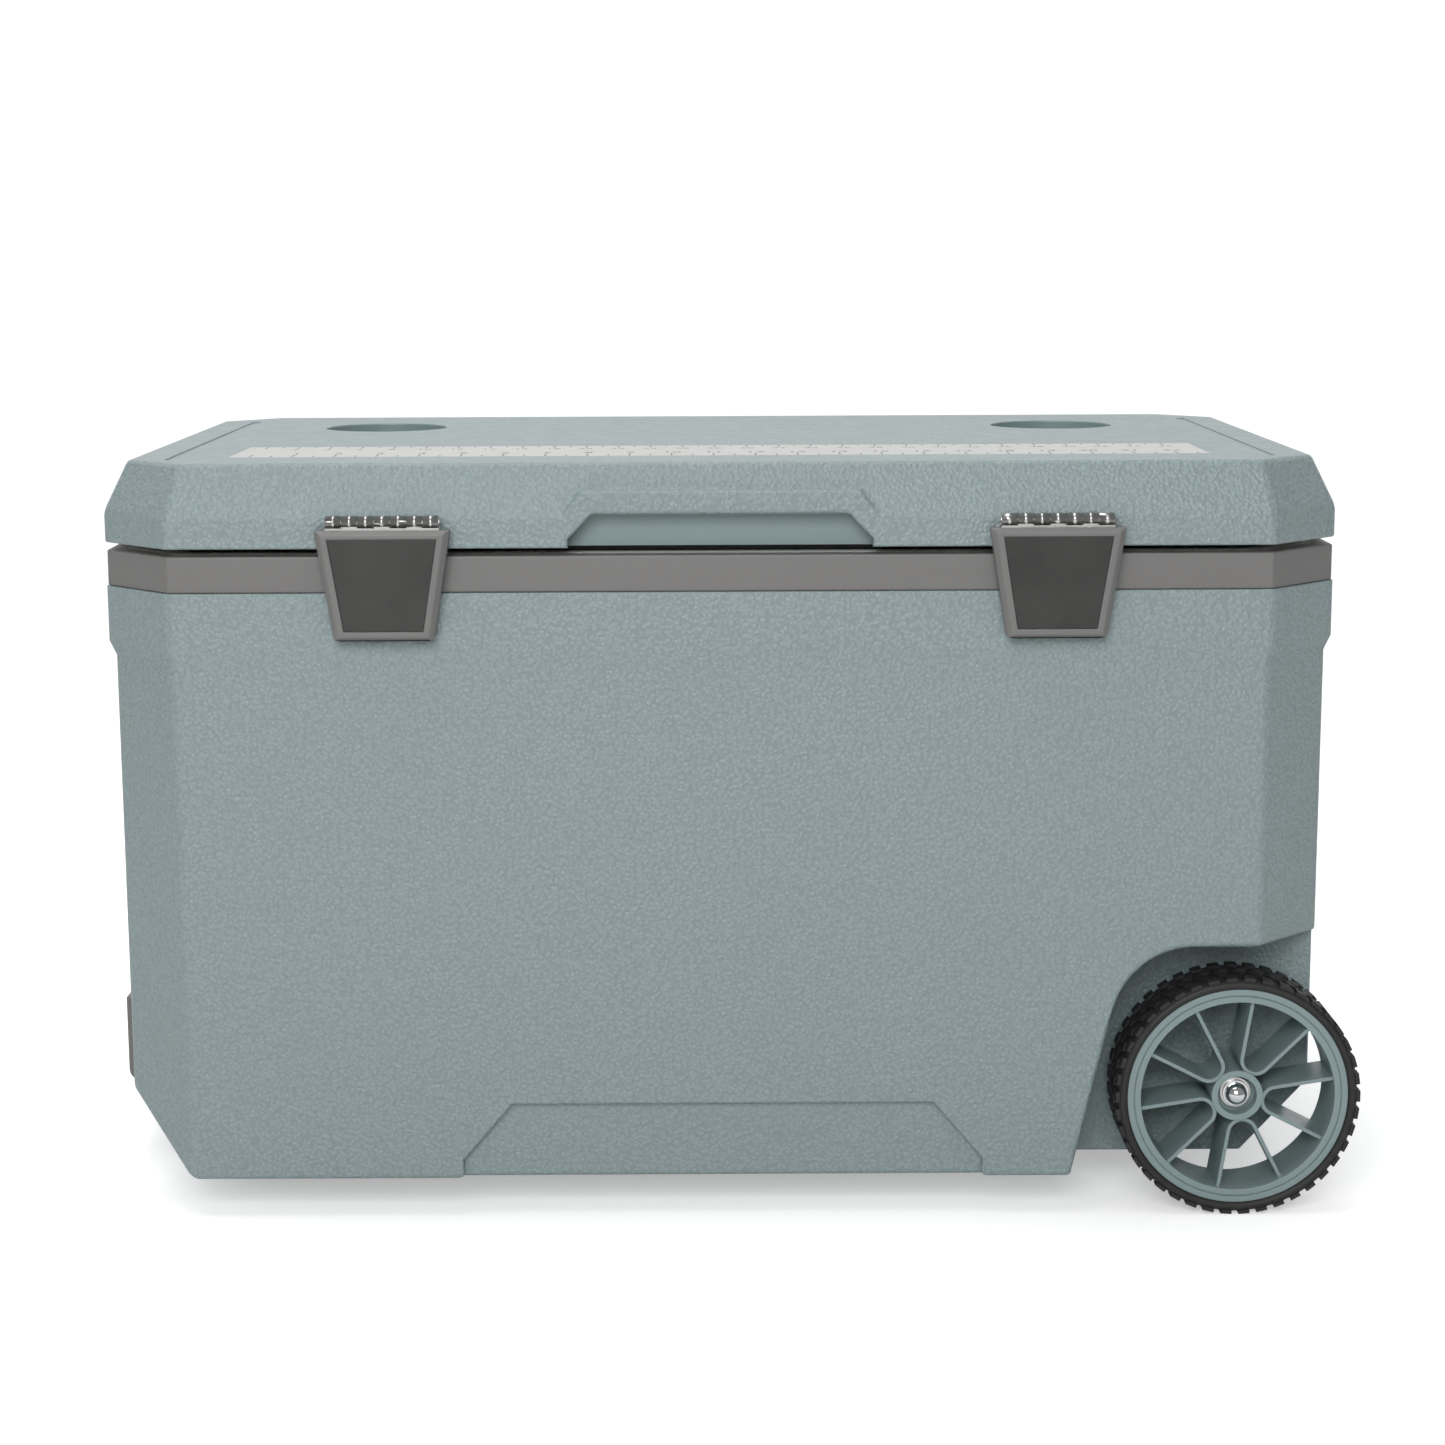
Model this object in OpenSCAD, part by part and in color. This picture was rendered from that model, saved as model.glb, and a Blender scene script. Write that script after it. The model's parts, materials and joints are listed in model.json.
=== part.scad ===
// Wheeled hard cooler: foam-filled box and lid, two front latches, two wheels on one axle,
// a swing tow handle on the other end, and a drain at the back.
// Millimetres. +X points to the wheel end, +Y to the back, +Z up. The floor is z = 0 and the
// bounding box is centred over the origin.

/* [Box] */
// Width of the lid, end to end
lid_width = 735.4; // [612:0.1:883]
// Depth of the lid, front to back
lid_depth = 440; // [366:0.5:528]
// Height of the moulded body under the rim band
body_height = 358.8; // [299:0.1:431]
// Height of the rim band
band_height = 21.6; // [18:0.1:26]
// Open gap between the rim band and the lid
lid_gap = 4.3; // [3.6:0.1:5.2]
// Corner chamfer of the lid, seen from above
corner_cut = 44; // [36:0.5:53]
// Clear height under the body
ground_clearance = 23.6; // [19:0.1:29]
// How far the body's walls stand in from the collar
body_inset = 3.8; // [3:0.1:4.6]
// Height of the collar at the top of the body
collar_height = 38; // [31:0.5:46]
// Height of the slope under the collar
collar_slope = 9; // [7:0.5:11]
// Chamfer along the bottom of each end, measured along X
end_cut_x = 42; // [35:0.5:51]
// Chamfer along the bottom of each end, measured along Z
end_cut_z = 46; // [38:0.5:56]
// Total thickness of the insulated wall at the rim
wall_total = 50; // [44:0.5:58]
// Thickness of the insulated floor
floor_total = 45; // [38:0.5:54]
// Plastic thickness of the outer shells
shell_wall = 3; // [2.5:0.1:3.6]
// Plastic thickness of the liners
liner_wall = 2.5; // [2:0.1:3]
// Draft of the tub over its whole height
tub_draft = 6; // [4:0.5:8]

/* [Lid] */
// Height of the upright skirt
skirt_height = 18.6; // [16:0.1:23]
// Height of the sloped border above the skirt
slope_height = 30.3; // [25:0.1:37]
// How far the sloped border leans in
slope_inset = 14.4; // [12:0.1:18]
// Diameter of a cup holder
cup_diameter = 83; // [69:0.5:100]
// Depth of a cup holder
cup_depth = 24; // [18:0.5:28]
// Distance from each end of the lid to a cup holder's centre
cup_end = 138.7; // [116:0.1:166]
// Distance from the lid's back edge to the cup holders' centres
cup_rear = 120; // [100:1:144]
// Distance from each end of the lid to the ruler strip
ruler_end = 72.7; // [61:0.1:87]
// Depth of the ruler strip
ruler_depth = 80; // [66:1:88]
// Distance from the lid's front edge to the middle of the ruler strip
ruler_front = 102; // [94:1:112]
// Half width of the front grip boss at its top
grip_half = 81.5; // [68:0.5:98]
// Height of the grip boss above the skirt
grip_rise = 14.7; // [12:0.1:18]
// Depth of the finger recess under the front grip
grip_depth = 15; // [12:0.5:18]
// How far the grip boss widens to each side on the way down
grip_flare = 13; // [10:0.5:16]
// Width of the boss's rail at each side of the finger recess
grip_rail = 6.5; // [5:0.5:8]
// Depth of the lid's insulated plug below the lid's edge
plug_depth = 12; // [9:0.5:15]
// Width of the lid's gasket
gasket_width = 8; // [6:0.5:10]

/* [Latches] */
// Place of the latches, as a share of the way from the middle to the end
latch_share = 0.533; // [0.5:0.001:0.6]
// Width of a latch at its top
latch_top_width = 79; // [66:0.5:95]
// Width of a latch at its bottom
latch_low_width = 58.5; // [49:0.5:70]
// Height of a latch below its hinge
latch_height = 68.6; // [58:0.5:76]
// Thickness of a latch frame's front wall
latch_face = 4.4; // [3.8:0.1:5.2]
// Space between a latch's steel leaf and the walls of its frame
latch_leaf_gap = 1; // [0.8:0.1:1.2]

/* [Wheels] */
// Diameter of a tyre
wheel_diameter = 148; // [124:0.5:177]
// Width of a tyre
wheel_width = 42; // [35:0.5:50]
// Thickness of a tyre from rim to tread
tyre_thickness = 7.5; // [6:0.1:9]
// How far the wheels stand out past the body's end
wheel_overhang = 21; // [17:0.5:25]
// Space between a tyre and the side of its well, at axle height
well_gap_side = 14.3; // [11:0.1:17]
// Space between a tyre and the top of its well
well_gap_top = 17.6; // [14:0.1:21]
// Radius of the well's upper corner
well_corner = 50; // [42:0.5:60]
// Diameter of the axle
axle_diameter = 10; // [8:0.5:12]
// Number of looped ribs in a wheel
rib_count = 5; // [3:1:6]
// Thickness of a looped rib
rib_wall = 2.2; // [1.8:0.1:2.8]

/* [Tow handle] */
// Distance between the outsides of the handle's arms
handle_width = 196; // [164:1:235]
// Distance from the body's top down to the handle's pivots
pivot_drop = 90.8; // [78:0.1:109]
// Height of the hanging handle's lower end above the body's bottom
handle_rest = 27; // [22:0.5:32]
// Width of a handle arm
arm_width = 16; // [13:0.5:19]
// Thickness of a handle arm
arm_thickness = 9; // [7.5:0.5:11]
// Diameter of the handle's pivot pins
pivot_diameter = 5; // [4:0.5:6]

/* [Drain] */
// Diameter of the drain hole
drain_diameter = 18; // [15:0.5:21]
// Distance from the tub's step to the drain's centre
drain_step = 79.6; // [66:0.1:96]

/* [Hidden] */
$fn = 72;
e = 1;                                  // overshoot of cuts
past = 30;                              // overshoot of large cuts past the outer faces
gap = 0.4;                              // between bodies that move past each other
run_fit = 0.05;                         // radial clearance of a pin or shaft
hole_fit = 0.1;                         // radial clearance around a fixed fastener
part_fit = 0.2;                         // clearance between fixed neighbours

// heights
z0 = ground_clearance;
z_band = z0 + body_height;
z_rim = z_band + band_height;
z_lid = z_rim + lid_gap;
z_crease = z_lid + skirt_height;
z_top = z_crease + slope_height;
hw = lid_width / 2;
hd = lid_depth / 2;
body_hw = hw - body_inset;
body_hd = hd - body_inset;

// collar, band and liner lip, as insets from the lid's outline
band_inset = 1.2;
band_wall = 3;
band_lip = 12;
band_ledge = 24;
skirt_in = 8;                           // band's locating skirt below the collar's top
skirt_t = 3;
foam_gap = 0.5;                         // between the band's skirt and the foam

// wheels
axle_r = axle_diameter / 2;
axle_z = wheel_diameter / 2;
wheel_r = wheel_diameter / 2;
wheel_x = body_hw + wheel_overhang - wheel_r;
well_lean = 13;
well_top = axle_z + wheel_r + well_gap_top;
well_side = wheel_x - wheel_r - well_gap_side;
well_cz = well_top - well_corner;
well_cx = well_side + (well_cz - axle_z) * tan(well_lean) + well_corner / cos(well_lean);
well_y = hd - wheel_width - 11.5;       // plane of the well's inner wall
rim_r = wheel_r - tyre_thickness;
rim_wall = 8;
hub_r = 15.5;
hub_recess_r = 11.8;
hub_recess = 9;
bush_t = 2.5;
tube_t = 3;
hub_face = hd - 3.5;
hub_floor = hub_face - hub_recess;
hub_in = hd - wheel_width - 3;
washer_r = axle_r + 4.5;
washer_t = 1.5;
washer_gap = 0.3;
axle_end = hub_floor + 6;
cap_r = axle_r + 3;
cap_step = 1.4;
cap_rim = 1.6;
cap_fit = 0.02;
rib_start = -9;                         // turn of the first rib from the horizontal
rib_open = 18;                          // half angle that a rib covers at the rim
rib_bend = 8.5;                         // radius of a rib's bend at the hub
rib_sink = 0.8;                         // how far a rib's bend runs into the hub
rib_set = 6;                            // rib's edge from the hub's inner face
rim_set = 5;                            // rim's edge from the hub's inner face
groove_in = 3.6;
groove_w = 0.8;
tyre_edge = 3;
bead_cut = 2;

// tub: a raised floor clears the wheel wells
well_foam = 20;                         // foam between a well and the tub
tub_floor = z0 + floor_total;
step_x = well_side - shell_wall - well_foam;
step_z = well_top + shell_wall + well_foam + liner_wall;

// front recess at the bottom of the body
kick_top = 47;
kick_upright = 12;
kick_low_half = 0.427 * hw;
kick_top_half = kick_low_half - 30;
kick_depth = 5;

// carry pocket in the wheel end
pocket_half = 62;
pocket_h = 34;
pocket_depth = 22;
pocket_z = z_band - collar_height - collar_slope - 4;     // top of the pocket

// feet
foot_x = -(hw - 95);
foot_y = hd - 96;
foot_w = 60;
foot_d = 36;
screw_r = 2;
head_r = 4;
head_h = 1.6;
foot_bore_r = head_r + 1.5;
foot_screw_len = z0 / 2 + 9;

// rear hinges
rear_x = hw * 0.62;
rear_len = 70;
rear_knuckles = 5;
rear_pitch = 24;                        // between a leaf's screws
rear_edge = 5;                          // from a leaf's edge to its screws
rear_barrel = 4.2;
leaf_t = 1.4;
rear_y = hd + rear_barrel + gap;
rear_z = z_rim + lid_gap / 2;
rear_pin_r = 1.8;
rear_leaf_low = band_height + lid_gap / 2 - 4.2;         // reach of a leaf from the axis
rear_leaf_up = skirt_height + lid_gap / 2 - 2.5;
rear_leaf_start = 0.5;
pin_head = 1.2;
hinge_screw_len = 8;

// latches
latch_x = latch_share * hw;
lbar_r = 4;
lpin_r = 1.6;
lleaf_t = 1.2;
lbar_y = -(hd + lbar_r + gap);
lbar_z = z_crease - 2.6;
lleaf_front = lbar_y - 3.2;             // plane of the latch-side leaf that meets the frame
lface_y = lleaf_front - latch_face;     // front plane of a latch
lback_y = -(hd + 1.4);
ltop = -4.2;                            // heights below are from the latch's axis
lid_leaf_h = 13;
leaf_h = 20;
leaf_screw_z = -9;
rivet_z = 6 - leaf_h;
lwall = 3;
ltop_wall = 2;
plate_t = 1;
plate_recess = 1.7;
plate_side = 7;
plate_low = 5.5;
plate_top = 5;
frame_bevel = 4.5;
frame_end_bevel = 3.4;
lknuckles = 7;
latch_screw_len = 6;
rivet_len = 3.2;
rivet_sink = 2.2;
keeper_half = 17;
keeper_out = 3.4;
keeper_z = 3;
keeper_h = 5;

// tow handle
arm_y = handle_width / 2 - arm_width / 2;
brk_t = 3;
eye_r = arm_thickness / 2 + 0.5;
piv_x = -(body_hw + brk_t + gap + eye_r);
piv_z = z_band - pivot_drop;
ear_t = 3.5;
ear_r = eye_r + 0.6;
bracket_w = arm_width + 2 * (ear_t + gap);
bracket_h = 40;
bracket_side = 8;                       // flange beyond the ears
bracket_screw_y = bracket_w / 2 + 3.6;
bracket_screw_z = 14;
bracket_screw_len = 9;
cheek_h = 56;
cheek_in = body_hw + 2;
cheek_out = body_hw + 18.6;
cheek_mid = (cheek_in + cheek_out) / 2;
cheek_r = (cheek_out - cheek_in) / 2;
grip_h = 30;
grip_bar_r = 5;
handle_low = z0 + handle_rest;

// drain
drain_r = drain_diameter / 2;
drain_x = step_x - drain_step;
drain_wall = 3;
drain_tube_r = drain_r + drain_wall;
drain_in = hd - wall_total - tub_draft - 7;             // inner end of the fitting
nut_wall = 4;
nut_h = 4.5;
nut_in = 1;
drain_z = tub_floor + drain_tube_r + 4;
drain_flange = drain_r + 11;
drain_flange_t = 4;
drain_gasket_t = 1.5;
drain_out = body_hd + drain_gasket_t + drain_flange_t;
plug_head_t = 6;
plug_head_r = drain_r + 7;
plug_notch_r = 2.6;
plug_notches = 8;
plug_len = 22;

// lid
ruler_x = hw - ruler_end;
ruler_y = ruler_front - hd;
ruler_t = 0.8;
stripe_x = hw - 40;
stripe_w = 6;
stripe_t = 1;
stripe_front = hd * 0.8;
stripe_back = hd * 0.74;
grip_back = 2;                          // how far the boss runs back into the slope
boss_low = 8;
boss_shoulder = 2;
recess_upright = 5;
recess_low = grip_half + grip_flare - grip_rail + 1;
recess_high = grip_half - grip_rail;
liner_z = z_lid + 1;                    // underside of the lid's liner
liner_in = shell_wall + part_fit;
plug_in = wall_total + 4;
plug_taper = 3;
gasket_in = wall_total - 24;            // inset of the gasket's outer edge
gasket_h = 6;

// the bounding box is centred over the origin
x_low = -max(cheek_out, hw);
x_high = wheel_x + wheel_r;
y_low = lface_y;
y_high = max(rear_y + rear_barrel, drain_out + plug_head_t);
shift = [-(x_low + x_high) / 2, -(y_low + y_high) / 2, 0];

teal = [0.47, 0.57, 0.58];
grey = [0.5, 0.49, 0.48];
steel = [0.75, 0.75, 0.76];
white = [0.93, 0.93, 0.91];
black = [0.08, 0.08, 0.08];
foamc = [0.93, 0.86, 0.6];

// ---------- shared shapes ----------

// outline of a block clipped to half width h, as [inset, height] pairs from the bottom up
function sides(h, prof) = concat([for (p = prof) [h - p[0], p[1]]],
  [for (i = [len(prof) - 1 : -1 : 0]) [prof[i][0] - h, prof[i][1]]]);

// a block with cut corners; prof gives its inset at each height, ends the same for the X ends
module eight(prof, ends = undef) {
  big = 3 * (hw + hd);
  diag = (hw + hd - corner_cut) / sqrt(2);
  intersection() {
    rotate([90, 0, 0]) linear_extrude(big, center = true)
      polygon(sides(hw, is_undef(ends) ? prof : ends));
    rotate([90, 0, 90]) linear_extrude(big, center = true) polygon(sides(hd, prof));
    rotate([90, 0, 45]) linear_extrude(big, center = true) polygon(sides(diag, prof));
    rotate([90, 0, -45]) linear_extrude(big, center = true) polygon(sides(diag, prof));
  }
}

// a ring with cut corners between two insets
module ring(i0, i1, za, zb) {
  difference() {
    eight([[i0, za], [i0, zb]]);
    eight([[i1, za - e], [i1, zb + e]]);
  }
}

module along_y(r, ya, yb) {
  translate([0, min(ya, yb), 0]) rotate([-90, 0, 0]) cylinder(r = r, h = abs(yb - ya));
}

module along_x(r, xa, xb) {
  translate([min(xa, xb), 0, 0]) rotate([0, 90, 0]) cylinder(r = r, h = abs(xb - xa));
}

module both_sides() {
  children();
  mirror([0, 1, 0]) children();
}

// a pan-head screw: its head rests on z = 0 and stands up, the shank goes down
module screw(len, r = screw_r) {
  translate([0, 0, -len]) cylinder(r = r, h = len + e / 2, $fn = 32);
  cylinder(r = head_r, h = head_h, $fn = 32);
}

module shank(len, r = screw_r) {
  translate([0, 0, -len - hole_fit]) cylinder(r = r + hole_fit, h = len + 2 * e, $fn = 32);
}

module in_frame() {
  translate(shift) children();
}

// ---------- body ----------

// wheel well, open to the front, the end and the bottom; grow thickens its walls
module well(grow) {
  r = well_corner + grow;
  tx = well_cx - r * cos(well_lean);
  tz = well_cz + r * sin(well_lean);
  far = hw + 2 * past;
  translate([0, -(well_y - grow), 0]) rotate([90, 0, 0])
    linear_extrude(hd - well_y + grow + past) {
      translate([well_cx, well_cz]) circle(r = r);
      polygon([[tx - (tz + past) * tan(well_lean), -past], [tx, tz], [well_cx, well_cz],
        [well_cx, well_cz + r], [far, well_cz + r], [far, -past]]);
    }
}

// shallow recess low on the front
module kick(grow) {
  translate([0, -(body_hd - kick_depth - grow), 0]) rotate([90, 0, 0])
    linear_extrude(kick_depth + grow + past)
      polygon([[-kick_low_half - grow, z0 - past], [kick_low_half + grow, z0 - past],
        [kick_low_half + grow, z0 + kick_upright],
        [kick_top_half + grow, z0 + kick_top + grow],
        [-kick_top_half - grow, z0 + kick_top + grow],
        [-kick_low_half - grow, z0 + kick_upright]]);
}

// hand recess in the wheel end
module pocket(grow) {
  translate([body_hw - pocket_depth - grow, -pocket_half - grow, pocket_z - pocket_h - grow])
    cube([pocket_depth + grow + past, 2 * (pocket_half + grow), pocket_h + 2 * grow]);
}

module body_outer() {
  zs = z_band - collar_height;
  prof = [[body_inset, z0], [body_inset, zs - collar_slope / 2], [0, zs + collar_slope / 2],
    [0, z_band]];
  ends = [[body_inset + end_cut_x, z0], [body_inset, z0 + end_cut_z],
    [body_inset, zs - collar_slope / 2], [0, zs + collar_slope / 2], [0, z_band]];
  eight(prof, ends);
}

// the space inside the moulded shell, up to height zt
module body_inner(zt) {
  t = shell_wall;
  zs = z_band - collar_height;
  k = 1 + t * sqrt(1 / pow(end_cut_x, 2) + 1 / pow(end_cut_z, 2));
  prof = [[body_inset + t, z0 + t], [body_inset + t, zs - collar_slope / 2],
    [t, zs + collar_slope / 2], [t, zt]];
  ends = [[body_inset + end_cut_x * (k - t / end_cut_z), z0 + t],
    [body_inset + t, z0 + end_cut_z * (k - t / end_cut_x)],
    [body_inset + t, zs - collar_slope / 2], [t, zs + collar_slope / 2], [t, zt]];
  difference() {
    eight(prof, ends);
    both_sides() well(t);
    kick(t);
    pocket(t);
  }
}

module body_holes() {
  translate([wheel_x, 0, axle_z]) along_y(axle_r + tube_t + hole_fit, -hd, hd);
  translate([drain_x, 0, drain_z]) along_y(drain_tube_r + hole_fit, 0, hd + past);
  foot_places() shank(foot_screw_len);
  bracket_screw_places() shank(bracket_screw_len);
}

module body_shell() {
  in_frame() color(teal) difference() {
    body_outer();
    both_sides() well(0);
    kick(0);
    pocket(0);
    body_inner(z_band + e);
    body_holes();
  }
}

module body_foam() {
  in_frame() color(foamc) difference() {
    union() {
      body_inner(z_band - skirt_in);
      ring(band_inset + band_wall + skirt_t + foam_gap, wall_total, z_band - skirt_in - e,
        z_rim - 2 * liner_wall);
    }
    tub_outside();
    body_holes();
  }
}

// everything inside the liner's outer face
module tub_outside() {
  g = liner_wall;
  difference() {
    eight([[wall_total + tub_draft - g, tub_floor - g], [wall_total - g, z_rim + e]]);
    translate([step_x + g, -hd, z0]) cube([hw, lid_depth, step_z - z0 - g]);
  }
}

module inner_liner() {
  in_frame() color(white) difference() {
    union() {
      difference() {
        tub_outside();
        translate([-hw, -hd, z_rim]) cube([lid_width, lid_depth, 2 * e]);
      }
      ring(band_lip, wall_total - e, z_rim - liner_wall, z_rim);
    }
    difference() {
      eight([[wall_total + tub_draft, tub_floor], [wall_total, z_rim + e]]);
      translate([step_x, -hd, z0]) cube([hw, lid_depth, step_z - z0]);
    }
    translate([drain_x, 0, drain_z]) along_y(drain_tube_r + hole_fit, 0, hd);
  }
}

module rim_band() {
  in_frame() color(grey) difference() {
    union() {
      ring(band_inset, band_inset + band_wall, z_band, z_rim);
      ring(band_inset, band_lip, z_rim - 2 * liner_wall, z_rim);
      ring(band_inset, band_ledge, z_rim - 2 * liner_wall, z_rim - liner_wall);
      ring(liner_in, liner_in + skirt_t, z_band - skirt_in, z_band + skirt_t);
      for (s = [-1, 1]) translate([s * latch_x - keeper_half, -(hd - band_inset + keeper_out),
        z_band + keeper_z]) cube([2 * keeper_half, keeper_out + e, keeper_h]);
    }
    rear_screw_places(-1) shank(hinge_screw_len);
  }
}

// ---------- feet ----------

module foot(s) {
  in_frame() color(black) difference() {
    translate([foot_x - foot_w / 2, s * foot_y - foot_d / 2, 0]) cube([foot_w, foot_d, z0]);
    translate([foot_x, s * foot_y, -e]) cylinder(r = foot_bore_r, h = z0 / 2 + e, $fn = 32);
    translate([foot_x, s * foot_y, 0]) cylinder(r = screw_r + hole_fit, h = z0 + e, $fn = 32);
  }
}

module foot_front() { foot(-1); }
module foot_back() { foot(1); }

module foot_places() {
  for (s = [-1, 1]) translate([foot_x, s * foot_y, z0 / 2]) rotate([180, 0, 0])
    children();
}

module foot_screws() {
  in_frame() color(steel) foot_places() screw(foot_screw_len);
}

// ---------- axle and wheels ----------

module axle_tube() {
  tube_end = hub_in - washer_t - 2 * washer_gap;
  in_frame() color(black) translate([wheel_x, 0, axle_z]) difference() {
    along_y(axle_r + tube_t, -tube_end, tube_end);
    along_y(axle_r + hole_fit, -hd, hd);
  }
}

module axle() {
  in_frame() color(steel) translate([wheel_x, 0, axle_z])
    along_y(axle_r, -axle_end, axle_end);
}

module wheel_washers() {
  in_frame() color(steel) translate([wheel_x, 0, axle_z])
    for (s = [-1, 1], y = [hub_in - washer_t - washer_gap, hub_floor + washer_gap]) difference() {
      along_y(washer_r, s * y, s * (y + washer_t));
      along_y(axle_r + hole_fit, -hd - e, hd + e);
    }
}

module axle_caps() {
  y0 = hub_floor + washer_t + washer_gap + 0.1;
  step_r = cap_r - cap_step;
  in_frame() color(steel) translate([wheel_x, 0, axle_z]) both_sides() difference() {
    rotate([90, 0, 0]) rotate_extrude() difference() {
      union() {
        translate([0, y0]) square([cap_r, cap_rim]);
        translate([0, y0 + cap_rim]) square([step_r, cap_step]);
        translate([0, y0 + cap_rim + cap_step]) circle(r = step_r);
      }
      translate([-2 * cap_r, -hd]) square([2 * cap_r, 3 * hd]);
      translate([-2 * cap_r, y0 - 2 * cap_r]) square([4 * cap_r, 2 * cap_r]);
    }
    along_y(axle_r + cap_fit, -axle_end, 0);
  }
}

module tyre(s) {
  c = tyre_edge;
  b = bead_cut;
  w = wheel_width;
  in_frame() color(black) translate([wheel_x, s * (hd - w / 2), axle_z]) rotate([90, 0, 0])
    rotate_extrude($fn = 128) polygon([[rim_r, -w / 2 + b], [rim_r + b, -w / 2],
      [wheel_r - c, -w / 2], [wheel_r, -w / 2 + c], [wheel_r, w / 2 - c], [wheel_r - c, w / 2],
      [rim_r + b, w / 2], [rim_r, w / 2 - b]]);
}

module tyre_front() { tyre(-1); }
module tyre_back() { tyre(1); }

// the solid inside one looped rib of bend radius r, opening outwards along +X
module loop_area(r, reach, x0, turn) {
  translate([x0, 0, 0]) cylinder(r = r, h = reach);
  linear_extrude(reach) polygon([[x0 - r * sin(turn), r * cos(turn)],
    [rim_r, (r + (rim_r - x0) * sin(turn)) / cos(turn)],
    [rim_r, -(r + (rim_r - x0) * sin(turn)) / cos(turn)],
    [x0 - r * sin(turn), -r * cos(turn)]]);
}

module rim(s) {
  x0 = hub_r + rib_bend + rib_wall / 2 - rib_sink;
  reach = rim_r - rim_wall / 2;
  turn = asin((reach * sin(rib_open) - rib_bend) / (reach * cos(rib_open) - x0));
  depth = wheel_width - rib_set - 2;
  far = wheel_width + past;
  in_frame() color(teal) translate([wheel_x, s * hub_in, axle_z])
    rotate([90, 0, 0]) scale([1, 1, -s]) difference() {
      union() {
        difference() {
          translate([0, 0, rim_set]) cylinder(r = rim_r, h = wheel_width - rim_set + 1, $fn = 128);
          translate([0, 0, -e]) cylinder(r = rim_r - rim_wall, h = far, $fn = 128);
        }
        cylinder(r = hub_r, h = hub_face - hub_in);
        intersection() {
          cylinder(r = rim_r - 1, h = far);
          for (k = [0 : rib_count - 1]) rotate([0, 0, rib_start + k * 360 / rib_count])
            translate([0, 0, rib_set]) difference() {
              loop_area(rib_bend + rib_wall / 2, depth, x0, turn);
              translate([0, 0, -e]) loop_area(rib_bend - rib_wall / 2, depth + 2 * e, x0, turn);
            }
        }
      }
      translate([0, 0, -e]) cylinder(r = axle_r + bush_t, h = far);
      translate([0, 0, hub_floor - hub_in]) cylinder(r = hub_recess_r, h = far);
      translate([0, 0, wheel_width]) difference() {
        cylinder(r = rim_r - groove_in, h = past, $fn = 128);
        translate([0, 0, -e]) cylinder(r = rim_r - groove_in - groove_w, h = 2 * past, $fn = 128);
      }
    }
}

module rim_front() { rim(-1); }
module rim_back() { rim(1); }

module bush(s) {
  in_frame() color(black) translate([wheel_x, 0, axle_z]) difference() {
    along_y(axle_r + bush_t, s * hub_in, s * hub_floor);
    along_y(axle_r + run_fit, -hd, hd);
  }
}

module bush_front() { bush(-1); }
module bush_back() { bush(1); }

// ---------- drain ----------

module drain_fitting() {
  in_frame() color(white) translate([drain_x, 0, drain_z]) difference() {
    union() {
      along_y(drain_tube_r, drain_in, drain_out);
      along_y(drain_flange, drain_out - drain_flange_t, drain_out);
    }
    along_y(drain_r, 0, hd + past);
  }
}

module drain_gasket() {
  in_frame() color(black) translate([drain_x, 0, drain_z]) difference() {
    along_y(drain_flange - 1, body_hd, body_hd + drain_gasket_t);
    along_y(drain_tube_r + hole_fit, 0, hd + past);
  }
}

module drain_nut() {
  in_frame() color(white) translate([drain_x, drain_in + nut_in, drain_z])
    rotate([-90, 0, 0]) difference() {
      cylinder(r = drain_tube_r + nut_wall, h = nut_h, $fn = 6);
      translate([0, 0, -e]) cylinder(r = drain_tube_r + hole_fit, h = nut_h + 2 * e);
    }
}

module drain_plug() {
  in_frame() color(black) translate([drain_x, 0, drain_z]) {
    along_y(drain_r - run_fit, drain_out - plug_len, drain_out + gap + e);
    difference() {
      along_y(plug_head_r, drain_out + gap, drain_out + plug_head_t);
      for (k = [1 : plug_notches]) rotate([0, k * 360 / plug_notches, 0])
        translate([plug_head_r + 1, 0, 0])
          along_y(plug_notch_r, drain_out - e, drain_out + plug_head_t + e);
    }
  }
}

// ---------- rear hinges ----------

// knuckles of one side: every second one of n, starting with number first
module knuckles(len, n, r, first, clear) {
  p = len / n;
  for (k = [first : 2 : n - 1]) along_x(r, -len / 2 + k * p + clear, -len / 2 + (k + 1) * p - clear);
}

// height of a leaf's screws from the hinge's axis
function rear_screw_z(up) = up ? rear_leaf_up - rear_edge : rear_edge - rear_leaf_low;

module rear_leaf(side) {
  up = side > 0;
  yb = up ? hd : hd - band_inset;
  reach = up ? rear_leaf_up : rear_leaf_low;
  difference() {
    union() {
      knuckles(rear_len, rear_knuckles, rear_barrel, up ? 1 : 0, gap / 2);
      translate([-rear_len / 2, yb - rear_y, up ? rear_leaf_start : -reach])
        cube([rear_len, hd + leaf_t - yb, reach - rear_leaf_start]);
    }
    intersection() {
      knuckles(rear_len, rear_knuckles, rear_barrel + gap, up ? 0 : 1, -gap / 2);
      translate([-rear_len, -2 * rear_barrel, -rear_barrel - gap])
        cube([2 * rear_len, past, 2 * (rear_barrel + gap)]);
    }
    along_x(rear_pin_r + run_fit, -rear_len, rear_len);
    for (k = [-1, 0, 1]) translate([k * rear_pitch, 0, rear_screw_z(up)])
      along_y(screw_r + hole_fit, -past, past);
  }
}

module rear_place(s) {
  translate([s * rear_x, rear_y, rear_z]) children();
}

module hinge_body_leaf_left() { in_frame() color(steel) rear_place(-1) rear_leaf(-1); }
module hinge_body_leaf_right() { in_frame() color(steel) rear_place(1) rear_leaf(-1); }
module hinge_lid_leaf_left() { in_frame() color(steel) rear_place(-1) rear_leaf(1); }
module hinge_lid_leaf_right() { in_frame() color(steel) rear_place(1) rear_leaf(1); }

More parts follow.
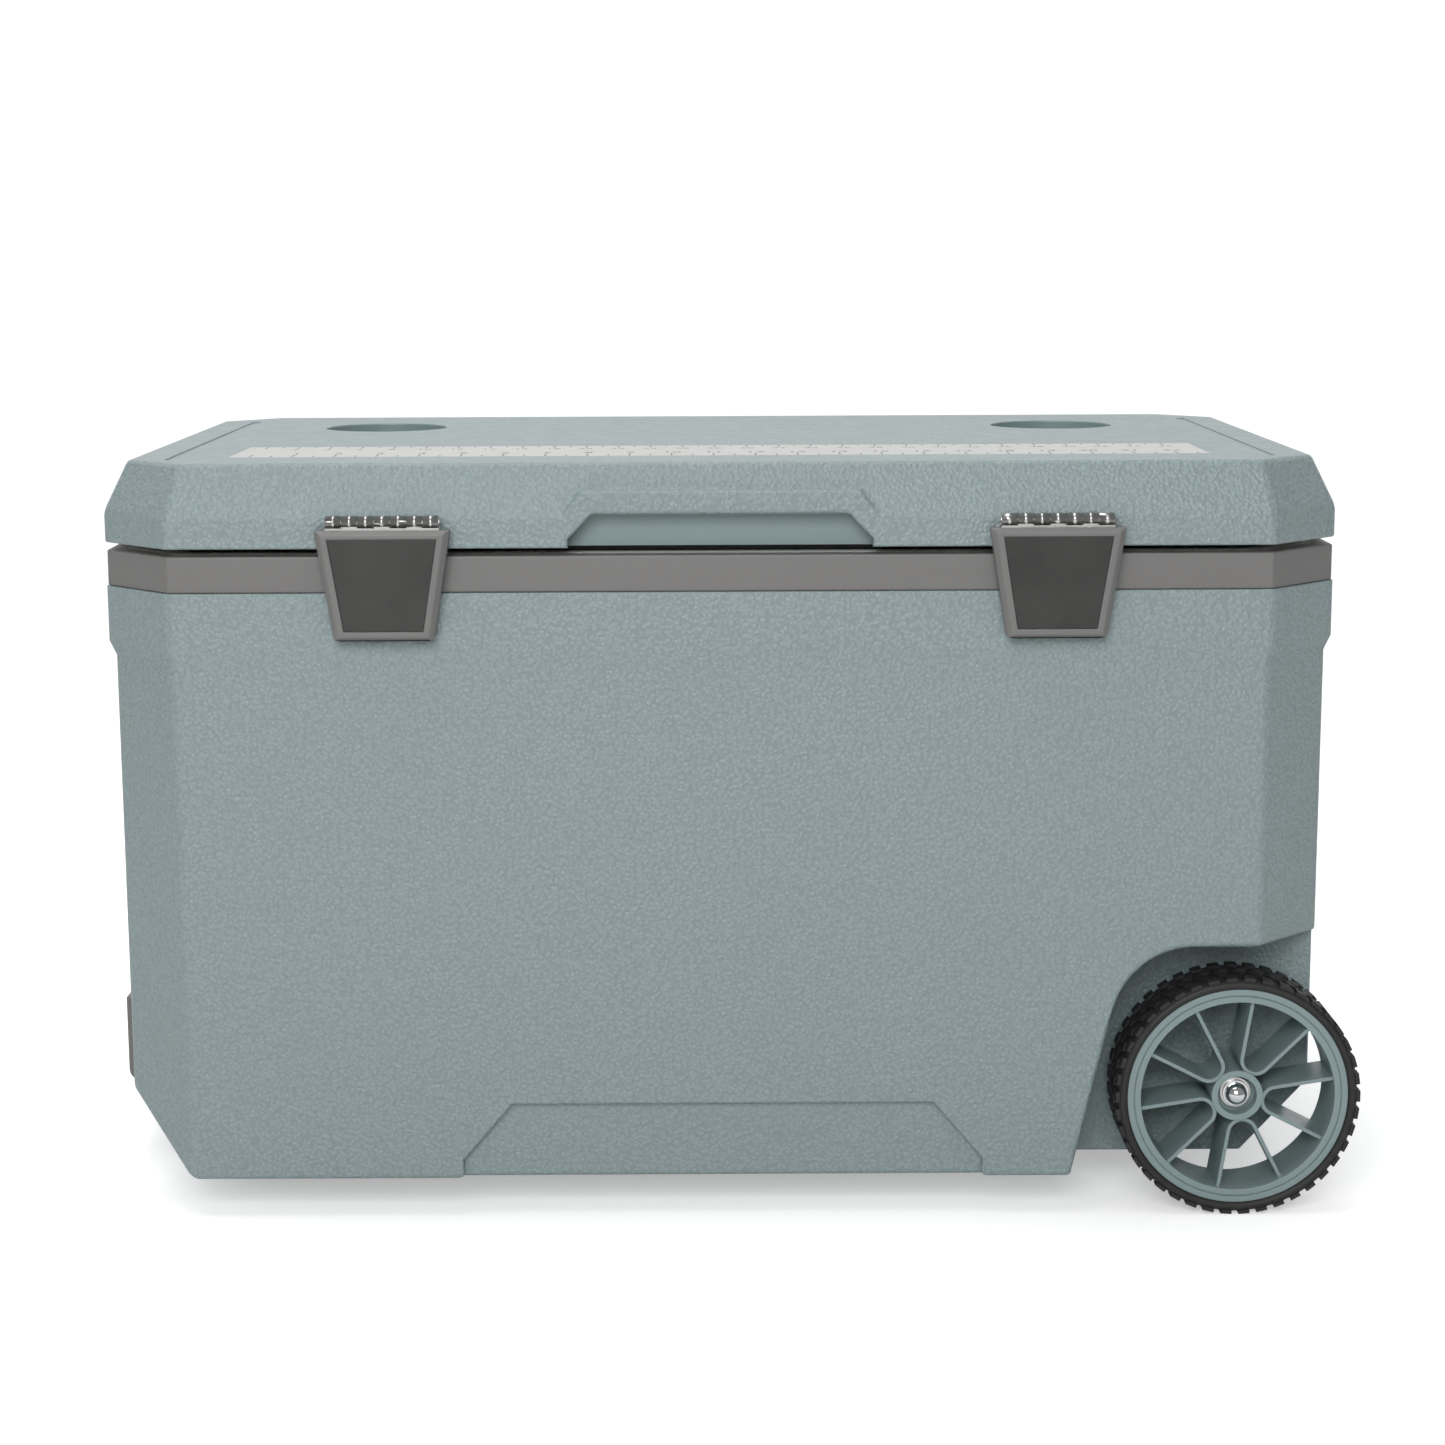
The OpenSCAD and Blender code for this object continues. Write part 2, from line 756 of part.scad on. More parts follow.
module rear_pin(s) {
  in_frame() color(steel) rear_place(s) {
    along_x(rear_pin_r, -rear_len / 2 - 1, rear_len / 2 + 1);
    for (k = [-1, 1]) along_x(rear_pin_r + pin_head, k * (rear_len / 2 + gap),
      k * (rear_len / 2 + gap + pin_head));
  }
}

module hinge_pin_left() { rear_pin(-1); }
module hinge_pin_right() { rear_pin(1); }

module rear_screw_places(side) {
  for (s = [-1, 1], k = [-1, 0, 1])
    translate([s * rear_x + k * rear_pitch, hd + leaf_t, rear_z + rear_screw_z(side > 0)])
      rotate([-90, 0, 0]) children();
}

module hinge_body_screws() {
  in_frame() color(steel) rear_screw_places(-1) screw(hinge_screw_len);
}

module hinge_lid_screws() {
  in_frame() color(steel) rear_screw_places(1) screw(hinge_screw_len);
}

// ---------- lid ----------

module lid_outer() {
  eight([[0, z_lid], [0, z_crease], [slope_inset, z_top]]);
  // front grip boss, flush with the skirt
  translate([0, -(hd - slope_inset - grip_back), 0]) rotate([90, 0, 0])
    linear_extrude(slope_inset + grip_back)
      polygon(grip_shape(0, z_crease - boss_low, z_crease + grip_rise));
}

function grip_shape(d, za, zb) = [[-grip_half - grip_flare - d, za],
  [grip_half + grip_flare + d, za], [grip_half + grip_flare + d, z_crease - boss_shoulder],
  [grip_half + d, zb], [-grip_half - d, zb],
  [-grip_half - grip_flare - d, z_crease - boss_shoulder]];

// finger recess under the boss; grow thickens its walls
module grip_recess(grow) {
  g = grow;
  translate([0, -(hd - grip_depth - g), 0]) rotate([90, 0, 0])
    linear_extrude(grip_depth + g + past)
      polygon([[-recess_low - g, z_lid - past], [recess_low + g, z_lid - past],
        [recess_low + g, z_lid + recess_upright], [recess_high + g, z_crease + 1 + g],
        [-recess_high - g, z_crease + 1 + g], [-recess_low - g, z_lid + recess_upright]]);
}

module cups(grow) {
  for (s = [-1, 1]) translate([s * (hw - cup_end), hd - cup_rear, z_top - cup_depth - grow])
    cylinder(r = cup_diameter / 2 + grow, h = cup_depth + grow + e, $fn = 96);
}

// the hollow under the lid's skin
module lid_inner() {
  t = shell_wall;
  difference() {
    union() {
      eight([[t, z_lid - e], [t, z_crease - 1], [slope_inset + t * 1.1, z_top - t]]);
      translate([0, -(hd - slope_inset - t - grip_back), 0]) rotate([90, 0, 0])
        linear_extrude(slope_inset + grip_back)
          polygon(grip_shape(-t, z_crease - boss_low + 2, z_crease + grip_rise - t));
    }
    cups(t);
    grip_recess(t);
  }
}

module lid_shell() {
  in_frame() color(teal) difference() {
    lid_outer();
    lid_inner();
    grip_recess(0);
    cups(0);
    ruler_block(part_fit, past);
    for (s = [-1, 1]) translate([s * stripe_x - stripe_w / 2, -stripe_front, z_top - stripe_t])
      cube([stripe_w, stripe_front + stripe_back, past]);
    rear_screw_places(1) shank(hinge_screw_len);
    latch_screw_places() shank(latch_screw_len);
  }
}

// the ruler strip's block, grown to each side and upwards
module ruler_block(grow, up) {
  translate([-ruler_x - grow, ruler_y - ruler_depth / 2 - grow, z_top - ruler_t])
    cube([2 * (ruler_x + grow), ruler_depth + 2 * grow, ruler_t + up]);
}

module ruler_strip() {
  in_frame() color(grey) ruler_block(0, 0);
}

// the hollow of the lid liner's plug
module plug_inside() {
  i = plug_in + liner_wall;
  eight([[i + plug_taper, z_lid - plug_depth + liner_wall], [i, liner_z + liner_wall + e]]);
}

module lid_liner() {
  t = liner_wall;
  in_frame() color(white) difference() {
    union() {
      eight([[liner_in, liner_z], [liner_in, liner_z + t]]);
      eight([[plug_in + plug_taper, z_lid - plug_depth], [plug_in, liner_z + t / 2]]);
      ring(gasket_in - t, gasket_in + gasket_width + t, liner_z, liner_z + gasket_h);
    }
    plug_inside();
    ring(gasket_in, gasket_in + gasket_width, z_lid - past, liner_z + gasket_h - t);
    grip_recess(liner_in);
    rear_screw_places(1) shank(hinge_screw_len);
    latch_screw_places() shank(latch_screw_len);
  }
}

module lid_gasket() {
  in_frame() color(black) ring(gasket_in + hole_fit, gasket_in + gasket_width - hole_fit,
    z_rim + gap, liner_z + gasket_h - liner_wall);
}

module lid_foam() {
  t = liner_wall;
  in_frame() color(foamc) difference() {
    union() {
      intersection() {
        lid_inner();
        translate([-hw, -hd, liner_z + t]) cube([lid_width, lid_depth, z_top - z_lid]);
      }
      plug_inside();
    }
    ring(gasket_in - t, gasket_in + gasket_width + t, z_lid, liner_z + gasket_h);
    rear_screw_places(1) shank(hinge_screw_len);
    latch_screw_places() shank(latch_screw_len);
  }
}

// ---------- latches ----------

module latch_place(s) {
  translate([s * latch_x, lbar_y, lbar_z]) children();
}

// half width of a latch at a height, and half length of the steel leaves that fit its frame
function latch_half(z) = latch_low_width / 2
  + (latch_top_width - latch_low_width) / 2 * (z + latch_height) / (latch_height + ltop);
leaf_half = min(latch_half(-leaf_h), latch_half(ltop) - ltop_wall) - lwall - latch_leaf_gap;
leaf_len = 2 * leaf_half;
leaf_screw_x = 0.6 * leaf_half;
rivet_x = 0.5 * leaf_half;

module lid_leaf() {
  difference() {
    union() {
      knuckles(leaf_len, lknuckles, lbar_r, 0, gap / 2);
      translate([-leaf_half, -hd - lbar_y - lleaf_t, -lid_leaf_h])
        cube([leaf_len, lleaf_t, lid_leaf_h]);
    }
    knuckle_room(1);
    along_x(lpin_r + run_fit, -leaf_len, leaf_len);
    for (k = [-1, 1]) translate([k * leaf_screw_x, 0, leaf_screw_z])
      along_y(screw_r + hole_fit, -past, past);
  }
}

// room around the knuckles of the other leaf, which start with number first
module knuckle_room(first) {
  intersection() {
    knuckles(leaf_len, lknuckles, lbar_r + gap, first, -gap / 2);
    translate([-leaf_len, -past, -lbar_r - gap]) cube([2 * leaf_len, 2 * past, past]);
  }
}

module latch_lid_leaf_left() { in_frame() color(steel) latch_place(-1) lid_leaf(); }
module latch_lid_leaf_right() { in_frame() color(steel) latch_place(1) lid_leaf(); }

module latch_screw_places() {
  for (s = [-1, 1], k = [-1, 1])
    translate([s * latch_x + k * leaf_screw_x, -hd - lleaf_t, lbar_z + leaf_screw_z])
      rotate([90, 0, 0]) children();
}

module latch_lid_screws() {
  in_frame() color(steel) latch_screw_places() screw(latch_screw_len);
}

module latch_pin(s) {
  in_frame() color(steel) latch_place(s)
    along_x(lpin_r, -leaf_half - gap, leaf_half + gap);
}

module latch_pin_left() { latch_pin(-1); }
module latch_pin_right() { latch_pin(1); }

module swing_leaf() {
  difference() {
    union() {
      knuckles(leaf_len, lknuckles, lbar_r, 1, gap / 2);
      translate([-leaf_half, lleaf_front - lbar_y, -leaf_h]) cube([leaf_len, lleaf_t, leaf_h]);
    }
    knuckle_room(0);
    along_x(lpin_r + run_fit, -leaf_len, leaf_len);
    for (k = [-1, 1]) translate([k * rivet_x, 0, rivet_z])
      along_y(screw_r + hole_fit, -past, past);
  }
}

module latch_leaf_left() { in_frame() color(steel) latch_place(-1) swing_leaf(); }
module latch_leaf_right() { in_frame() color(steel) latch_place(1) swing_leaf(); }

// front outline of a latch, d in from its edge, cut to heights za to zb
function latch_shape(d, za, zb) = [[-latch_half(za) + d, za], [latch_half(za) - d, za],
  [latch_half(zb) - d, zb], [-latch_half(zb) + d, zb]];

module latch_slab(d, za, zb, y0, y1) {
  translate([0, y1 - lbar_y, 0]) rotate([90, 0, 0])
    linear_extrude(y1 - y0) polygon(latch_shape(d, za, zb));
}

module latch_frame(s) {
  low = -latch_height;
  mid = low / 2;
  lean = atan((latch_half(ltop) - latch_half(low)) / (ltop - low));
  in_frame() color(grey) latch_place(s) difference() {
    latch_slab(0, low, ltop, lface_y, lback_y);
    // hollow back
    latch_slab(lwall, low + lwall, ltop - ltop_wall, lleaf_front, lback_y + e);
    latch_slab(lwall + ltop_wall, ltop - ltop_wall - e, ltop + e, lleaf_front, lback_y + e);
    // pocket for the steel plate
    latch_slab(plate_side, low + plate_low, ltop - plate_top, lface_y - e,
      lface_y + plate_recess);
    // bevelled front edges
    for (k = [-1, 1]) {
      translate([k * latch_half(mid), lface_y - lbar_y, mid]) rotate([0, k * lean, 0])
        rotate([0, 0, 45]) cube([frame_bevel, frame_bevel, 3 * latch_height], center = true);
      translate([0, lface_y - lbar_y, k > 0 ? ltop : low]) rotate([45, 0, 0])
        cube([3 * latch_top_width, frame_end_bevel, frame_end_bevel], center = true);
    }
    for (k = [-1, 1]) translate([k * rivet_x, 0, rivet_z])
      along_y(screw_r + hole_fit, lleaf_front - lbar_y - rivet_sink, past);
  }
}

module latch_frame_left() { latch_frame(-1); }
module latch_frame_right() { latch_frame(1); }

module latch_plate(s) {
  in_frame() color(steel) latch_place(s)
    latch_slab(plate_side + hole_fit, plate_low + hole_fit - latch_height,
      ltop - plate_top - hole_fit, lface_y + plate_recess - plate_t, lface_y + plate_recess);
}

module latch_plate_left() { latch_plate(-1); }
module latch_plate_right() { latch_plate(1); }

module latch_rivets(s) {
  in_frame() color(steel) latch_place(s)
    for (k = [-1, 1]) translate([k * rivet_x, lleaf_front - lbar_y + lleaf_t, rivet_z])
      rotate([-90, 0, 0]) screw(rivet_len);
}

module latch_rivets_left() { latch_rivets(-1); }
module latch_rivets_right() { latch_rivets(1); }

// ---------- tow handle ----------

module bracket(s) {
  w = bracket_w;
  in_frame() color(grey) translate([0, s * arm_y, piv_z]) difference() {
    union() {
      translate([-body_hw - brk_t, -w / 2 - bracket_side, -bracket_h / 2])
        cube([brk_t, w + 2 * bracket_side, bracket_h]);
      for (k = [-1, 1]) translate([0, k * (w - ear_t) / 2 - ear_t / 2, 0]) {
        translate([piv_x, 0, 0]) along_y(ear_r, 0, ear_t);
        translate([piv_x, 0, -ear_r])
          cube([-piv_x - body_hw - brk_t / 2, ear_t, 2 * ear_r]);
      }
    }
    translate([piv_x, 0, 0]) along_y(pivot_diameter / 2 + hole_fit, -w, w);
    for (k = [-1, 1], z = [-1, 1]) translate([0, k * bracket_screw_y, z * bracket_screw_z])
      along_x(screw_r + hole_fit, -hw - past, 0);
  }
}

module handle_bracket_front() { bracket(-1); }
module handle_bracket_back() { bracket(1); }

module bracket_screw_places() {
  for (s = [-1, 1], k = [-1, 1], z = [-1, 1]) translate([-body_hw - brk_t,
    s * arm_y + k * bracket_screw_y, piv_z + z * bracket_screw_z])
      rotate([0, -90, 0]) children();
}

module handle_bracket_screws() {
  in_frame() color(steel) bracket_screw_places() screw(bracket_screw_len);
}

module handle_pins() {
  in_frame() color(steel) for (s = [-1, 1]) translate([piv_x, s * arm_y, piv_z])
    along_y(pivot_diameter / 2, -bracket_w / 2, bracket_w / 2);
}

module tow_handle() {
  ax = -(body_hw + brk_t + gap);
  zc = handle_low;
  in_frame() color(grey) difference() {
    union() {
      for (s = [-1, 1]) translate([0, s * arm_y - arm_width / 2, 0]) {
        translate([piv_x, 0, piv_z]) along_y(eye_r, 0, arm_width);
        translate([ax - arm_thickness, 0, zc + cheek_h / 2])
          cube([arm_thickness, arm_width, piv_z - zc - cheek_h / 2]);
        translate([-cheek_out, 0, zc + cheek_r]) cube([2 * cheek_r, arm_width, cheek_h - cheek_r]);
        translate([-cheek_mid, 0, zc + cheek_r]) along_y(cheek_r, 0, arm_width);
      }
      translate([-cheek_mid, 0, zc + grip_h / 2]) along_y(grip_bar_r, -arm_y, arm_y);
    }
    translate([piv_x, 0, piv_z]) along_y(pivot_diameter / 2 + run_fit, -hd, hd);
  }
}

module tow_handle_grip() {
  r = cheek_r;
  half = arm_y - arm_width / 2;
  in_frame() color(black) translate([-cheek_mid, 0, handle_low + grip_h / 2])
    difference() {
      union() {
        for (k = [-1, 1]) translate([0, 0, k * (grip_h / 2 - r)]) along_y(r, -half, half);
        translate([-r, -half, -grip_h / 2 + r]) cube([2 * r, 2 * half, grip_h - 2 * r]);
      }
      along_y(grip_bar_r, -hd, hd);
    }
}

// ---------- output ----------
body_shell();
body_foam();
inner_liner();
rim_band();
axle_tube();
axle();
wheel_washers();
axle_caps();
foot_front();
foot_back();
foot_screws();
drain_fitting();
drain_gasket();
drain_nut();
drain_plug();
hinge_body_leaf_left();
hinge_body_leaf_right();
hinge_pin_left();
hinge_pin_right();
hinge_body_screws();
hinge_lid_leaf_left();
hinge_lid_leaf_right();
hinge_lid_screws();
lid_shell();
lid_foam();
lid_liner();
lid_gasket();
ruler_strip();
latch_lid_leaf_left();
latch_lid_leaf_right();
latch_pin_left();
latch_pin_right();
latch_lid_screws();
latch_frame_left();
latch_frame_right();
latch_plate_left();
latch_plate_right();
latch_leaf_left();
latch_leaf_right();
latch_rivets_left();
latch_rivets_right();
tyre_front();
tyre_back();
rim_front();
rim_back();
bush_front();
bush_back();
handle_bracket_front();
handle_bracket_back();
handle_bracket_screws();
handle_pins();
tow_handle();
tow_handle_grip();
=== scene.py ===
"""Looks of a wheeled hard cooler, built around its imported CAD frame.

Every CAD node is replaced by a refined copy of itself (edges rounded, finish applied) or by a piece
modelled here. The frame is +X to the wheel end, +Y to the back, +Z up, in metres.
"""
import json
import logging
import math
from collections.abc import Callable, Sequence
from dataclasses import dataclass, field
from enum import Enum

import bmesh
import bpy
from mathutils import Matrix, Vector
from mathutils.bvhtree import BVHTree

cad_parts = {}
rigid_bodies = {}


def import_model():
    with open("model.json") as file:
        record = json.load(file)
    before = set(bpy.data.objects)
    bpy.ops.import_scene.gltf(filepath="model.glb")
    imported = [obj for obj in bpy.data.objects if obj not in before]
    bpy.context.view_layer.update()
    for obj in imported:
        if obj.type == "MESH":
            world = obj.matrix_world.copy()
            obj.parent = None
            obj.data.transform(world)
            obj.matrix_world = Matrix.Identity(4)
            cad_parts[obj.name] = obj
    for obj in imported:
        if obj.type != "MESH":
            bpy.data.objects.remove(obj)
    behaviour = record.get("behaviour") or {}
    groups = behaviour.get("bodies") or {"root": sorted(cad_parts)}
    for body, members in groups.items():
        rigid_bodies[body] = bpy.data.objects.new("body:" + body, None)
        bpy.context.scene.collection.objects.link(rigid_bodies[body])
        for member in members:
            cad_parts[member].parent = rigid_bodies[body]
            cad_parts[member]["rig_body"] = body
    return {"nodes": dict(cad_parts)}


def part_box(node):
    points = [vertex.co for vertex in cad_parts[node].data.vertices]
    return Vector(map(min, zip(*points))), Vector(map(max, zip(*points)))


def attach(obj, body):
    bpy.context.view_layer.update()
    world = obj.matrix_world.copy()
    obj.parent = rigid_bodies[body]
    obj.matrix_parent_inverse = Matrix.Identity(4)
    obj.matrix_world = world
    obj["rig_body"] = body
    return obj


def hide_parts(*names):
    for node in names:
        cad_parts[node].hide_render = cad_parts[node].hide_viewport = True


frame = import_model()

logging.basicConfig(level=logging.INFO, format="%(name)s: %(message)s")
LOG = logging.getLogger("cooler")
MM = 0.001
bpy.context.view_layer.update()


class Side(Enum):
    """The side that a repeated sub-assembly sits on."""

    LEFT = "left"
    RIGHT = "right"
    FRONT = "front"
    BACK = "back"

    @property
    def sign(self) -> int:
        """Direction of the side along its axis, -1 or 1."""
        return -1 if self in (Side.LEFT, Side.FRONT) else 1


class Grain(Enum):
    """Surface texture of a moulded plastic."""

    PEBBLE = "pebble"
    SATIN = "satin"
    FINE = "fine"


# ---------------------------------------------------------------- colour and node helpers


def srgb(code: str) -> tuple[float, float, float, float]:
    """Turns a hex sRGB colour into a linear one.

    Args:
        code: Six hex digits, with or without a leading hash.

    Returns:
        Linear red, green, blue and an alpha of 1.
    """
    code = code.lstrip("#")
    out = []
    for i in (0, 2, 4):
        c = int(code[i : i + 2], 16) / 255
        out.append(c / 12.92 if c <= 0.04045 else ((c + 0.055) / 1.055) ** 2.4)
    return out[0], out[1], out[2], 1.0


class Shader:
    """A thin builder over one material's node tree."""

    def __init__(self, name: str) -> None:
        """Args: name: The material's name."""
        self.material = bpy.data.materials.new(name)
        self.material.use_nodes = True
        self.tree = self.material.node_tree
        self.bsdf = self.tree.nodes["Principled BSDF"]
        self._coords = self.tree.nodes.new("ShaderNodeTexCoord")

    def node(self, kind: str, inputs: dict | None = None, **props) -> bpy.types.Node:
        """Adds a node.

        Args:
            kind: Blender's node type name.
            inputs: Values or output sockets by input name.
            props: Node properties to set.

        Returns:
            The new node.
        """
        made = self.tree.nodes.new(kind)
        for key, value in props.items():
            setattr(made, key, value)
        for key, value in (inputs or {}).items():
            self.feed(made.inputs[key], value)
        return made

    def feed(self, socket: bpy.types.NodeSocket, value) -> None:
        """Links an output to a socket, or sets the socket's own value."""
        if isinstance(value, bpy.types.NodeSocket):
            self.tree.links.new(value, socket)
        else:
            socket.default_value = value

    @property
    def object_coords(self) -> bpy.types.NodeSocket:
        """Object coordinates, in metres."""
        return self._coords.outputs["Object"]

    def scaled(self, scale: tuple[float, float, float]) -> bpy.types.NodeSocket:
        """Object coordinates multiplied per axis."""
        made = self.node("ShaderNodeMapping", {"Vector": self.object_coords, "Scale": scale})
        return made.outputs["Vector"]

    def noise(self, size_mm: float, detail: float = 2.0, vector=None) -> bpy.types.NodeSocket:
        """Noise whose blobs are about size_mm across.

        Args:
            size_mm: Real size of one feature.
            detail: Octaves of finer noise.
            vector: Coordinates to use in place of the object's.

        Returns:
            The noise's factor socket.
        """
        made = self.node("ShaderNodeTexNoise", {"Scale": 1 / (size_mm * MM), "Detail": detail,
                                                "Vector": vector or self.object_coords})
        return made.outputs["Fac"]

    def ramp(self, factor, low: float, high: float, out_low: float = 0.0, out_high: float = 1.0):
        """Maps a factor from one range to another, clamped."""
        return self.node("ShaderNodeMapRange", {"Value": factor, "From Min": low, "From Max": high,
                                                "To Min": out_low, "To Max": out_high}).outputs["Result"]

    def mix(self, factor, a, b) -> bpy.types.NodeSocket:
        """Mixes two colours."""
        made = self.tree.nodes.new("ShaderNodeMix")
        made.data_type = "RGBA"
        self.feed(made.inputs[0], factor)
        self.feed(made.inputs[6], a)
        self.feed(made.inputs[7], b)
        return made.outputs[2]

    def bump(self, height, depth_mm: float, strength: float, under=None) -> bpy.types.NodeSocket:
        """A bump of a real depth, over another normal if one is given."""
        inputs = {"Height": height, "Distance": depth_mm * MM, "Strength": strength}
        if under is not None:
            inputs["Normal"] = under
        return self.node("ShaderNodeBump", inputs).outputs["Normal"]


# ---------------------------------------------------------------- finishes


@dataclass(frozen=True)
class Finish:
    """A finish that builds one material.

    Attributes:
        name: The material's name, after the real material.
        colour: Hex sRGB base colour.
        roughness: Microfacet roughness of the clean surface.
    """

    name: str
    colour: str
    roughness: float

    def build(self) -> bpy.types.Material:
        """Returns the material, made once and then reused."""
        known = bpy.data.materials.get(self.name)
        if known:
            return known
        shader = Shader(self.name)
        shader.bsdf.inputs["Roughness"].default_value = self.roughness
        self.wire(shader)
        LOG.info("material %s", self.name)
        return shader.material

    def wire(self, shader: Shader) -> None:
        """Fills the shader in. Subclasses add their own pattern."""
        shader.bsdf.inputs["Base Color"].default_value = srgb(self.colour)


@dataclass(frozen=True)
class Moulded(Finish):
    """Injection-moulded polypropylene with a chosen mould grain.

    Attributes:
        grain: The mould's texture.
        shade: Hex colour of the slightly darker mottling; in the pebble grain a darker copy of it is painted
            shade in the valleys between the cells.
        depth_mm: Height of the grain.
    """

    grain: Grain = Grain.SATIN
    shade: str = "000000"
    depth_mm: float = 0.16

    def wire(self, shader: Shader) -> None:
        """Adds mottled colour, painted shade in the pebble grain's valleys, and the grain's bump."""
        blotch = shader.ramp(shader.noise(70, 2), 0.3, 0.7)
        colour = shader.mix(blotch, srgb(self.colour), srgb(self.shade))
        if self.grain is Grain.PEBBLE:
            # leather-like cells about 2.4 mm across, pulled out of round by a slower noise
            warp = shader.node("ShaderNodeTexNoise", {"Scale": 1 / (3.4 * MM), "Detail": 1.0,
                                                      "Vector": shader.object_coords})
            off = shader.node("ShaderNodeVectorMath", {0: warp.outputs["Color"], 1: (0.5, 0.5, 0.5)},
                              operation="SUBTRACT")
            push = shader.node("ShaderNodeVectorMath", {0: off.outputs[0], "Scale": 2.4 * MM},
                               operation="SCALE")
            at = shader.node("ShaderNodeVectorMath", {0: shader.object_coords, 1: push.outputs[0]},
                             operation="ADD")
            cells = shader.node("ShaderNodeTexVoronoi", {"Scale": 1 / (2.4 * MM), "Smoothness": 0.3,
                                                         "Vector": at.outputs[0]}, feature="SMOOTH_F1")
            domes = shader.ramp(cells.outputs["Distance"], 0.12, 0.75, 1.0, 0.0)
            # painted shade: the valleys between the cells are coloured darker, as shade would fall in them
            painted_valley_shade = tuple(0.82 * c for c in srgb(self.shade)[:3]) + (1.0,)
            colour = shader.mix(domes, painted_valley_shade, colour)
            normal = shader.bump(domes, self.depth_mm, 1.0)
            normal = shader.bump(shader.noise(0.7, 2), 0.03, 0.5, normal)
        elif self.grain is Grain.SATIN:
            normal = shader.bump(shader.noise(0.35, 2), 0.012, 0.5)
        else:
            normal = shader.bump(shader.noise(0.8, 3), 0.03, 0.6)
        shader.feed(shader.bsdf.inputs["Base Color"], colour)
        shader.feed(shader.bsdf.inputs["Normal"], normal)
        wear = shader.ramp(shader.noise(14, 4), 0.3, 0.7, self.roughness - 0.04, self.roughness + 0.05)
        shader.feed(shader.bsdf.inputs["Roughness"], wear)


@dataclass(frozen=True)
class Metal(Finish):
    """Stainless or plated steel.

    Attributes:
        brush: Per-axis stretch of the brushing lines, or None for a polished piece.
    """

    brush: tuple[float, float, float] | None = None

    def wire(self, shader: Shader) -> None:
        """Sets a metallic surface and its brushing."""
        shader.bsdf.inputs["Metallic"].default_value = 1.0
        shader.bsdf.inputs["Base Color"].default_value = srgb(self.colour)
        if self.brush is None:
            return
        lines = shader.noise(1.0, 3, shader.scaled(self.brush))
        rough = shader.ramp(lines, 0.25, 0.75, self.roughness - 0.06, self.roughness + 0.08)
        shader.feed(shader.bsdf.inputs["Roughness"], rough)
        cloud = shader.ramp(shader.noise(24, 2), 0.3, 0.7)
        tone = shader.mix(cloud, srgb(self.colour), tuple(0.86 * c for c in srgb(self.colour)[:3]) + (1.0,))
        shader.feed(shader.bsdf.inputs["Base Color"], tone)
        shader.feed(shader.bsdf.inputs["Normal"], shader.bump(lines, 0.004, 0.35))


@dataclass(frozen=True)
class Rubber(Finish):
    """Black moulded rubber with a faint dusty bloom."""

    def wire(self, shader: Shader) -> None:
        """Adds bloom in the colour and a fine skin."""
        bloom = shader.ramp(shader.noise(9, 4), 0.4, 0.75)
        colour = shader.mix(bloom, srgb(self.colour), tuple(1.5 * c for c in srgb(self.colour)[:3]) + (1.0,))
        shader.feed(shader.bsdf.inputs["Base Color"], colour)
        shader.feed(shader.bsdf.inputs["Normal"], shader.bump(shader.noise(0.6, 3), 0.03, 0.5))


@dataclass(frozen=True)
class Foam(Finish):
    """Rigid polyurethane foam, seen only if the shell is cut away."""

    def wire(self, shader: Shader) -> None:
        """Adds small open cells."""
        shader.bsdf.inputs["Base Color"].default_value = srgb(self.colour)
        cells = shader.node("ShaderNodeTexVoronoi", {"Scale": 1 / (1.1 * MM), "Vector": shader.object_coords})
        shader.feed(shader.bsdf.inputs["Normal"], shader.bump(cells.outputs["Distance"], 0.3, 0.6))


@dataclass(frozen=True)
class Sweep(Finish):
    """White studio paper that is burnt out to white where it is seen directly."""

    def wire(self, shader: Shader) -> None:
        """Lifts the paper for the camera only, so that it throws no extra light on the object."""
        shader.bsdf.inputs["Base Color"].default_value = srgb(self.colour)
        shader.bsdf.inputs["Emission Color"].default_value = srgb("FFFFFF")
        path = shader.node("ShaderNodeLightPath")
        lift = shader.ramp(path.outputs["Is Camera Ray"], 0.0, 1.0, 0.0, 0.4)
        shader.feed(shader.bsdf.inputs["Emission Strength"], lift)


@dataclass(frozen=True)
class Lamp(Finish):
    """Evenly lit white backdrop paper."""

    def wire(self, shader: Shader) -> None:
        """Makes the paper glow by itself."""
        shader.bsdf.inputs["Base Color"].default_value = srgb("000000")
        shader.bsdf.inputs["Emission Color"].default_value = srgb(self.colour)
        shader.bsdf.inputs["Emission Strength"].default_value = 1.05


# moulded polypropylene, the body and lid skins
TEAL = Moulded("polypropylene_teal_pebbled", "879698", 0.44, Grain.PEBBLE, "859495", 0.45)
# the same plastic from a smooth mould: rims and cup walls
TEAL_SMOOTH = Moulded("polypropylene_teal_satin", "7B8C8D", 0.36, Grain.SATIN, "79898A")
# grey ABS trim with a fine spark-eroded surface
GREY = Moulded("abs_warm_grey", "6C6B6A", 0.42, Grain.FINE, "6A6968")
# white food-grade polypropylene, liners and drain parts
WHITE = Moulded("polypropylene_white", "DEDFDA", 0.4, Grain.SATIN, "DADBD6")
# printed vinyl strip
VINYL = Moulded("vinyl_strip", "AEAEAC", 0.4, Grain.SATIN, "ABABA9")
# black printing ink
INK = Finish("printing_ink", "4A4946", 0.5)
# black nylon, bushes and the axle's sleeve; also the painted shade of the screws' cross slots
NYLON = Moulded("nylon_black", "1D1D1E", 0.5, Grain.FINE, "1A1A1B")
# ethylene-vinyl tyres
TYRE = Rubber("eva_tyre_black", "191919", 0.62)
# solid rubber: feet, gaskets, plug and grip
BLACK = Rubber("rubber_black", "1B1B1B", 0.6)
